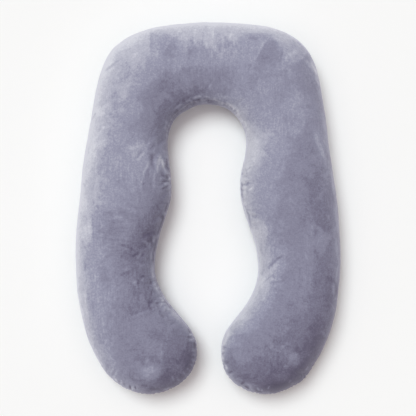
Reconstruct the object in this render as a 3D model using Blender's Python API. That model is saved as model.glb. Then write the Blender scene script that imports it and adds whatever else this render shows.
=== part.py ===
"""U-shaped body pillow: two velvet panels sewn together round the edge, turned and filled.

The pillow lies on its back on the plane z = 0, with its origin at the centre of its length and width.
+Y runs towards the closed head end and +X towards the right-hand arm. Units are metres, angles degrees.

The seam is one closed line round the whole U. From each of its points the top panel rises to the crown
above the middle of the tube, and the bottom panel goes down and round to the flat underside.
"""
import math
from collections import namedtuple

import bmesh
import bpy
import numpy as np

# Cross-section of the filled tube
WIDEST_HEIGHT = 0.082     # height above the floor at which the tube is widest
LOWER_RUN = 0.086         # from the widest line inwards to where the underside meets the floor
CROWN_SQUARENESS = 2.35   # 2 is a round crown, more is a flatter one
LOWER_SQUARENESS = 2.10
OUTER_SEAM = 20.0         # how far round the section, above its widest line, the outer seam runs
END_SEAM = 14.0           # the same, round the ends of the arms
SEAM_DEPTH = 0.0060       # how far the sewing draws the cloth in
SEAM_REACH = 7.0          # how far round the section, either side of the seam, the cloth is drawn in

# Fineness of the surface
TOP_STEPS = 6
LOWER_STEPS = 5
END_STEPS = 10
LEVEL_SPREAD = 1.4        # over 1, the steps are finer next to the seam
WELD = 0.003              # points along the middle of the tube that lie closer than this become one

COVER_COLOUR = (0.272, 0.264, 0.366, 1.0)
COVER_ROUGHNESS = 0.9

# A section across the tube: its two edges, its height at the crown, how far round the section its inner
# seam lies above the widest line, and the number of steps from here to the next section
Section = namedtuple("Section", "outer_x outer_y inner_x inner_y crown inner_seam steps")
SECTIONS = (
    Section(-0.402, -0.499, -0.041, -0.469, 0.180, 14, 8),
    Section(-0.435, -0.399, -0.090, -0.391, 0.186, 15, 8),
    Section(-0.455, -0.290, -0.164, -0.292, 0.178, 17, 5),
    Section(-0.462, -0.182, -0.186, -0.184, 0.171, 18, 4),
    Section(-0.458, -0.073, -0.163, -0.073, 0.176, 17, 4),
    Section(-0.447, 0.033, -0.132, 0.033, 0.184, 15, 6),
    Section(-0.436, 0.142, -0.132, 0.135, 0.186, 17, 5),
    Section(-0.419, 0.250, -0.142, 0.215, 0.181, 22, 4),
    Section(-0.402, 0.352, -0.136, 0.268, 0.181, 28, 3),
    Section(-0.382, 0.448, -0.118, 0.308, 0.184, 33, 3),
    Section(-0.338, 0.547, -0.089, 0.334, 0.187, 38, 3),
    Section(-0.243, 0.612, -0.058, 0.350, 0.183, 41, 3),
    Section(-0.126, 0.638, -0.028, 0.359, 0.178, 43, 3),
    Section(-0.005, 0.646, 0.000, 0.361, 0.176, 44, 3),
    Section(0.116, 0.642, 0.028, 0.358, 0.178, 43, 3),
    Section(0.233, 0.625, 0.056, 0.350, 0.183, 41, 3),
    Section(0.327, 0.572, 0.083, 0.334, 0.187, 38, 3),
    Section(0.374, 0.492, 0.106, 0.310, 0.185, 33, 3),
    Section(0.396, 0.397, 0.123, 0.279, 0.181, 28, 3),
    Section(0.412, 0.299, 0.133, 0.236, 0.180, 22, 3),
    Section(0.424, 0.205, 0.128, 0.178, 0.184, 17, 4),
    Section(0.440, 0.098, 0.114, 0.093, 0.187, 15, 6),
    Section(0.453, -0.007, 0.125, -0.005, 0.185, 16, 5),
    Section(0.461, -0.112, 0.162, -0.112, 0.176, 18, 4),
    Section(0.462, -0.213, 0.175, -0.213, 0.171, 18, 4),
    Section(0.452, -0.317, 0.148, -0.317, 0.178, 17, 5),
    Section(0.433, -0.411, 0.082, -0.404, 0.186, 15, 8),
    Section(0.400, -0.495, 0.049, -0.473, 0.180, 14, 8),
)

# Edge points round the two rounded ends, in the order in which the edge runs: up the left arm outside,
# over the head, down the right arm, round its end, back along the inside and round the left end
RIGHT_END = ((0.353, -0.574), (0.300, -0.621), (0.228, -0.648),
             (0.152, -0.642), (0.092, -0.611), (0.054, -0.556))
LEFT_END = ((-0.045, -0.544), (-0.083, -0.600), (-0.147, -0.638),
            (-0.217, -0.648), (-0.292, -0.629), (-0.353, -0.580))

# A stretch of seam along which the cloth is gathered: the middle of the stretch, its length, the spacing
# and depth of its pleats, and how far round the section they reach above and below the seam
Gather = namedtuple("Gather", "middle_x middle_y length pitch depth above below")
GATHERS = (
    Gather(-0.165, -0.642, 0.56, 0.024, 0.0050, 16.0, 16.0),
    Gather(0.190, -0.648, 0.60, 0.026, 0.0050, 16.0, 16.0),
    Gather(-0.131, 0.100, 0.24, 0.046, 0.0050, 44.0, 12.0),
    Gather(-0.150, -0.315, 0.24, 0.044, 0.0045, 44.0, 12.0),
    Gather(0.116, 0.070, 0.22, 0.048, 0.0035, 40.0, 12.0),
)
GATHER_FADE = 0.06        # length over which a gathered stretch dies away at each end


def spline_controls(rows):
    """Control rows of the closed cubic spline that passes through the rows."""
    same = np.eye(len(rows))
    system = (4 * same + np.roll(same, 1, axis=0) + np.roll(same, -1, axis=0)) / 6
    return np.linalg.solve(system, rows)


def spline_row(controls, place):
    """The row of the closed cubic spline at a place counted in rows."""
    index = math.floor(place)
    part = place - index
    weights = (
        (1 - part) ** 3,
        3 * part ** 3 - 6 * part ** 2 + 4,
        -3 * part ** 3 + 3 * part ** 2 + 3 * part + 1,
        part ** 3,
    )
    count = len(controls)
    return sum(weight * controls[(index + shift) % count]
               for shift, weight in enumerate(weights, start=-1)) / 6


def edge_rows():
    """Rows round the whole edge: edge x and y; and middle x and y, crown height and seam angle."""
    outer = [((s.outer_x, s.outer_y), middle(s) + (s.crown, OUTER_SEAM)) for s in SECTIONS]
    inner = [((s.inner_x, s.inner_y), middle(s) + (s.crown, s.inner_seam)) for s in SECTIONS]
    right = [(point, middle(SECTIONS[-1]) + (SECTIONS[-1].crown, END_SEAM)) for point in RIGHT_END]
    left = [(point, middle(SECTIONS[0]) + (SECTIONS[0].crown, END_SEAM)) for point in LEFT_END]
    rows = outer + right + inner[::-1] + left
    return np.array([row[0] for row in rows]), np.array([row[1] for row in rows])


def middle(section):
    """The middle of a section, under its crown."""
    return ((section.outer_x + section.inner_x) / 2, (section.outer_y + section.inner_y) / 2)


def edge_places():
    """Places along the edge, in rows, with as many steps on the inside of each section as outside."""
    steps = [section.steps for section in SECTIONS[:-1]]
    spans = steps + [END_STEPS] * (len(RIGHT_END) + 1) + steps[::-1] + [END_STEPS] * (len(LEFT_END) + 1)
    return [span + step / count for span, count in enumerate(spans) for step in range(count)]


def read_edge():
    """The edge, the middle of the tube beside it, the crown height and the seam angle, place by place."""
    edge, rest = edge_rows()
    edge_controls = spline_controls(edge)
    places = edge_places()
    edges = np.array([spline_row(edge_controls, place) for place in places])
    rests = np.array([spline_row(rest, place) for place in places])
    return edges, rests[:, :2], rests[:, 2], rests[:, 3]


def section_point(edge, middle_point, crown, angle):
    """A point of the section from the middle of the tube to one edge.

    The angle is 90 at the crown, 0 at the widest line and -90 where the underside meets the floor.
    """
    half = np.linalg.norm(edge - middle_point)
    across = abs(math.cos(math.radians(angle)))
    along = abs(math.sin(math.radians(angle)))
    if angle >= 0:
        power = 2 / CROWN_SQUARENESS
        run = half * across ** power
        height = WIDEST_HEIGHT + (crown - WIDEST_HEIGHT) * along ** power
    else:
        power = 2 / LOWER_SQUARENESS
        run = half - LOWER_RUN * (1 - across ** power)
        height = WIDEST_HEIGHT * (1 - along ** power)
    x, y = middle_point + (edge - middle_point) * run / half
    return x, y, height


def level_angle(seam, level):
    """The section angle of a level: 0 is the seam, TOP_STEPS the crown and -LOWER_STEPS the floor."""
    if level >= 0:
        return seam + (90 - seam) * (level / TOP_STEPS) ** LEVEL_SPREAD
    return seam - (90 + seam) * (-level / LOWER_STEPS) ** LEVEL_SPREAD


def pleat(distance, pitch):
    """A wave along the seam, 0 on a ridge and up to 1 in a fold, with no two pleats alike."""
    turn = 2 * math.pi * distance / pitch
    drift = 0.9 * math.sin(turn / 5.3) + 0.5 * math.sin(turn / 2.7 + 1.0)
    size = 0.72 + 0.28 * math.sin(turn / 3.7 + 2.0)
    return size * (0.5 - 0.5 * math.cos(turn + drift))


def gather_depths(edges):
    """For each gathered stretch, how deep its pleats are at each place of the edge."""
    lengths = np.linalg.norm(np.roll(edges, -1, axis=0) - edges, axis=1)
    distances = np.concatenate(([0.0], np.cumsum(lengths)[:-1]))
    around = lengths.sum()
    depths = []
    for gather in GATHERS:
        gaps = np.linalg.norm(edges - (gather.middle_x, gather.middle_y), axis=1)
        offsets = distances - distances[gaps.argmin()]
        offsets = (offsets + around / 2) % around - around / 2
        fades = np.clip((gather.length / 2 - abs(offsets)) / GATHER_FADE, 0, 1)
        waves = np.array([pleat(offset, gather.pitch) for offset in offsets])
        depths.append(gather.depth * fades * waves)
    return depths


def dent(angle, seam, depths):
    """How far a point of the surface is drawn in by the seam and by the pleats that run into it."""
    away = angle - seam
    drawn = SEAM_DEPTH * math.exp(-(away / SEAM_REACH) ** 2)
    for gather, depth in zip(GATHERS, depths):
        reach = gather.above if away > 0 else gather.below
        drawn += depth * math.exp(-(away / reach) ** 2)
    return drawn


def add_loop(bm, points):
    """A closed loop of edges through the points."""
    verts = [bm.verts.new(point) for point in points]
    edges = [bm.edges.new((verts[index - 1], vert)) for index, vert in enumerate(verts)]
    return verts, edges


def put_centre_over_origin(bm):
    """Slide the surface along the floor until its length and width are centred on the origin."""
    points = np.array([vert.co[:2] for vert in bm.verts])
    x, y = (points.min(axis=0) + points.max(axis=0)) / 2
    bmesh.ops.translate(bm, verts=bm.verts, vec=(-x, -y, 0.0))


def pillow_mesh():
    """The filled cover as one closed surface, level by level from the floor up to the crown."""
    edges, middles, crowns, seams = read_edge()
    depths = gather_depths(edges)
    bm = bmesh.new()
    floor_middle = [(x, y, 0.0) for x, y in middles]
    welded, lower_loop = add_loop(bm, floor_middle)
    dents = {}
    for level in range(-LOWER_STEPS, TOP_STEPS + 1):
        angles = [level_angle(seam, level) for seam in seams]
        points = [section_point(*row) for row in zip(edges, middles, crowns, angles)]
        verts, loop = add_loop(bm, points)
        bmesh.ops.bridge_loops(bm, edges=lower_loop + loop)
        lower_loop = loop
        if level == TOP_STEPS:
            welded += verts
        elif level > -LOWER_STEPS:
            for index, vert in enumerate(verts):
                local = [depth[index] for depth in depths]
                dents[vert] = dent(angles[index], seams[index], local)
    bmesh.ops.remove_doubles(bm, verts=welded, dist=WELD)
    bmesh.ops.recalc_face_normals(bm, faces=bm.faces)
    bm.normal_update()
    for vert, drawn in dents.items():
        vert.co -= vert.normal * drawn
    put_centre_over_origin(bm)
    mesh = bpy.data.meshes.new("pillow")
    bm.to_mesh(mesh)
    bm.free()
    mesh.shade_smooth()
    return mesh


def velvet_cover():
    """Short-pile velvet in a greyed lavender."""
    material = bpy.data.materials.new("velvet_cover")
    material.use_nodes = True
    shader = material.node_tree.nodes["Principled BSDF"]
    shader.inputs["Base Color"].default_value = COVER_COLOUR
    shader.inputs["Roughness"].default_value = COVER_ROUGHNESS
    shader.inputs["Metallic"].default_value = 0.0
    return material


def build():
    """Clear the scene and add the pillow."""
    for scene_object in list(bpy.data.objects):
        bpy.data.objects.remove(scene_object)
    mesh = pillow_mesh()
    mesh.materials.append(velvet_cover())
    pillow = bpy.data.objects.new("pillow", mesh)
    bpy.context.scene.collection.objects.link(pillow)


build()
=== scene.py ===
"""Looks of a U-shaped body pillow in brushed velvet.

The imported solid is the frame. A finer cover of the same form takes its place: two panels sewn together
round one edge, filled by a cloth simulation, gathered at the ends and creased where the arms bend, with the
soft light and dark patches that brushed pile keeps. Units are metres. +Y runs towards the closed head end.
"""
import math
from collections import namedtuple

import bmesh
import bpy
import numpy as np
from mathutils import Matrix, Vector, noise


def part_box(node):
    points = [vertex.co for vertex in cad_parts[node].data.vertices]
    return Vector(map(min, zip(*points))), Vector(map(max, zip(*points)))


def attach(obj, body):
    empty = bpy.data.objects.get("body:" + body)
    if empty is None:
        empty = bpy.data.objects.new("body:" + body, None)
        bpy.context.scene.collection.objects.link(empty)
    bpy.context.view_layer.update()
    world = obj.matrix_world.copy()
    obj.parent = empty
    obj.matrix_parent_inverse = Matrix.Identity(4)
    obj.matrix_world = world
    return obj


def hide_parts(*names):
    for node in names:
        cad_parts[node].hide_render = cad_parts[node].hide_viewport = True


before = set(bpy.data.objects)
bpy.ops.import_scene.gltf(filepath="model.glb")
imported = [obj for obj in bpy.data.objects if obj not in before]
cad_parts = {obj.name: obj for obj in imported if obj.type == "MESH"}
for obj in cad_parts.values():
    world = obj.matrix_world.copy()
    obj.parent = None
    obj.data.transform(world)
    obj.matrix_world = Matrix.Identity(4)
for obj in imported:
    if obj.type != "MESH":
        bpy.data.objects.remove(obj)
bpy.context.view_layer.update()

bl_info = {
    "name": "Body pillow",
    "version": (1, 0, 0),
    "blender": (4, 5, 0),
    "location": "3D View > Sidebar > Pillow",
    "description": "Makes a U-shaped body pillow with a brushed velvet cover, and its stage",
    "category": "Object",
}

NODE = "pillow"

# Fineness of the cover before it is subdivided once
TOP_STEPS = 19            # loops from the seam up to the crown
LOWER_STEPS = 5           # loops from the seam down to the floor
LEVEL_SPREAD = 1.25       # over 1, the loops lie closer together next to the seam
EDGE_SPACING = 0.0092     # spacing of the points along the arms and the head
END_SPACING = 0.0054      # the same, round the ends and beside them
FINE_SPANS = 2            # sections from the end of each arm that have the finer spacing
END_SPAN_LENGTH = 0.075   # mean length of edge between two points of an end's table
WELD = 0.002              # points along the middle of the tube that lie closer than this become one

END_SEAM = 4.0            # how far round the section the seam lies at the ends of the arms, in degrees

# A section across the tube: its two edges, its height at the crown, and how far round the section its
# outer and inner seams lie above the widest line, in degrees
Section = namedtuple("Section", "outer_x outer_y inner_x inner_y crown outer_seam inner_seam")
SECTIONS = [Section(*row) for row in (
    (-0.402, -0.499, -0.041, -0.469, 0.180, 2, 5),
    (-0.435, -0.399, -0.090, -0.391, 0.186, 2, 6),
    (-0.455, -0.290, -0.164, -0.292, 0.178, 2, 7),
    (-0.462, -0.182, -0.186, -0.184, 0.171, 2, 7),
    (-0.458, -0.073, -0.163, -0.073, 0.176, 2, 7),
    (-0.447, 0.033, -0.132, 0.033, 0.184, 2, 7),
    (-0.436, 0.142, -0.132, 0.135, 0.186, 2, 8),
    (-0.419, 0.250, -0.142, 0.215, 0.181, 2, 10),
    (-0.402, 0.352, -0.136, 0.268, 0.181, 2, 13),
    (-0.382, 0.448, -0.118, 0.308, 0.184, 2, 17),
    (-0.338, 0.547, -0.089, 0.334, 0.187, 2, 20),
    (-0.243, 0.612, -0.058, 0.350, 0.183, 2, 22),
    (-0.126, 0.638, -0.028, 0.359, 0.178, 2, 24),
    (-0.005, 0.646, 0.000, 0.361, 0.176, 2, 25),
    (0.116, 0.642, 0.028, 0.358, 0.178, 2, 24),
    (0.233, 0.625, 0.056, 0.350, 0.183, 2, 22),
    (0.327, 0.572, 0.083, 0.334, 0.187, 2, 20),
    (0.374, 0.492, 0.106, 0.310, 0.185, 2, 17),
    (0.396, 0.397, 0.123, 0.279, 0.181, 2, 13),
    (0.412, 0.299, 0.133, 0.236, 0.180, 2, 10),
    (0.424, 0.205, 0.128, 0.178, 0.184, 2, 8),
    (0.440, 0.098, 0.114, 0.093, 0.187, 2, 7),
    (0.453, -0.007, 0.125, -0.005, 0.185, 2, 7),
    (0.461, -0.112, 0.162, -0.112, 0.176, 2, 7),
    (0.462, -0.213, 0.175, -0.213, 0.171, 2, 7),
    (0.452, -0.317, 0.148, -0.317, 0.178, 2, 7),
    (0.433, -0.411, 0.082, -0.404, 0.186, 2, 6),
    (0.400, -0.495, 0.049, -0.473, 0.180, 2, 5),
)]

# Edge points round the two rounded ends, in the order in which the edge runs: up the left arm outside,
# over the head, down the right arm, round its end, back along the inside and round the left end
RIGHT_END = ((0.353, -0.574), (0.300, -0.621), (0.228, -0.648),
             (0.152, -0.642), (0.092, -0.611), (0.054, -0.556))
LEFT_END = ((-0.045, -0.544), (-0.083, -0.600), (-0.147, -0.638),
            (-0.217, -0.648), (-0.292, -0.629), (-0.353, -0.580))

# Simulation of the filling
FILL_FRAMES = 20
SPARE_REACH = 0.09        # how far from the seam the spare cloth lies
TAUT_SHARE = 0.25         # share of the filling's push that the cloth gives way to where none is spare
HELD_BAND = 0.002         # cloth this close to the seam is held by the sewing
FLOOR_BAND = 0.0005       # cloth this close to the floor rests on it
LEAST_WEIGHT = 0.01       # points with less weight than this stay out of a vertex group
LUMP_SCALE = 9.0          # lumps in the filling, in waves a metre
DENT_SCALE = 30.0         # smaller dents in it, in waves a metre
DENT_SHARE = 0.4          # depth of the dents, as a share of the lumps
NOISE_SEED = 1            # for the lumps and all outlines: with 0 they would start from the clock

# Spare cloth: where along the edge each panel is cut longer than the seam that it is sewn to
Spare = namedtuple("Spare", "x y reach share")
SPARES = [Spare(*row) for row in (
    (-0.131, 0.100, 0.20, 1.0),
    (-0.150, -0.315, 0.20, 1.0),
    (0.116, 0.070, 0.18, 0.8),
    (0.110, -0.360, 0.16, 0.6),
    (-0.130, -0.630, 0.27, 0.8),
    (0.168, -0.643, 0.28, 0.8),
)]

# A stretch of seam along which the cloth is gathered: the middle of the stretch, its length, the spacing
# and depth of its pleats, and how far they reach above and below the seam
Gather = namedtuple("Gather", "x y length pitch depth above below")
GATHERS = [Gather(*row) for row in (
    (-0.127, -0.628, 0.56, 0.0150, 0.0038, 0.020, 0.022),
    (0.168, -0.643, 0.54, 0.0160, 0.0038, 0.020, 0.022),
    (-0.131, 0.100, 0.24, 0.0300, 0.0025, 0.050, 0.020),
    (-0.150, -0.315, 0.24, 0.0280, 0.0022, 0.050, 0.020),
    (0.116, 0.070, 0.22, 0.0300, 0.0020, 0.045, 0.020),
    (0.000, 0.361, 0.50, 0.0170, 0.0010, 0.016, 0.016),
)]
GATHER_FADE = 0.06        # length over which a gathered stretch dies away at each end
SEAM_WANDER = 18.0        # how often the groove of the seam grows deeper and shallower, in waves a metre
SEAM_MEAN = 0.6           # mean depth of the groove, as a share of the seam depth
SEAM_SWING = 0.4          # how far its depth strays from that mean
# Painted highlight on the ridges of pleats and painted shade in their folds
PLEAT_SHADING_TONE = 140.0        # tone between the ridges and the folds of pleats, for each metre of their depth
PLEAT_RIDGE = 0.35        # share of that which the ridges gain, the folds losing the rest
PLEAT_MEAN = 0.62         # mean depth of the pleats, as a share of their gather's depth

# Slow waves along the seam, so that no two pleats are alike: length in pleats over two pi, size, and start.
# They shift the pleats, in radians, change their depth, and change how far they reach
PLEAT_SHIFTS = ((5.3, 1.3, 0.0), (2.7, 0.9, 1.0))
PLEAT_DEPTHS = ((3.7, 0.24, 2.0), (8.9, 0.14, 0.4))
PLEAT_REACHES = ((3.1, 0.5, 0.7),)

# How light the pile looks is its tone: 1 is twice as light as pile that stands upright, -1 half as light. The
# tone also holds painted light and shade: slopes that face the head end and the left, towards the key light,
# are painted lighter, and those that face away are painted darker
LAY_BASE = -0.235
# Painted light and shade: slopes facing the upper left lighter, slopes facing away darker
PAINTED_LIGHT_LEAN = (-0.71, 0.61)      # tone gained by a slope that faces along X and along Y
# Painted sheen: the sides painted lighter where the cover turns down
PAINTED_SIDE_SHEEN = 0.22              # tone gained where the cover turns down to its sides
# Painted sheen in a rim along the steep sides, near the seam
PAINTED_RIM_SHEEN = 0.12                # tone gained in a rim beside the seam, with a rough edge
RIM_START = 0.62              # upward part of the cover's normal where the rim starts
RIM_FADE = 0.12               # how much further that part falls until the rim is whole
RIM_STRAY = 0.16              # how far that edge of the rim strays
# Painted light falloff: lighter towards the head end and the left, darker towards the lower right
PAINTED_LIGHT_FALLOFF = (-0.19, 0.46)     # tone gained for each metre along X and along Y
PATCH_WANDER = 0.007          # how far the outline of a patch strays
WANDER_SCALES = (22.0, 60.0)  # wander of the outlines, in waves a metre
PATCH_UPRIGHT = 3.0           # patches fade where the normal's upward part is under one in this many
LINE_UPRIGHT = 6.0            # the same for creases, strokes and sweeps
LINE_LOWEST = 0.05            # height below which there are none of those

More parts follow.
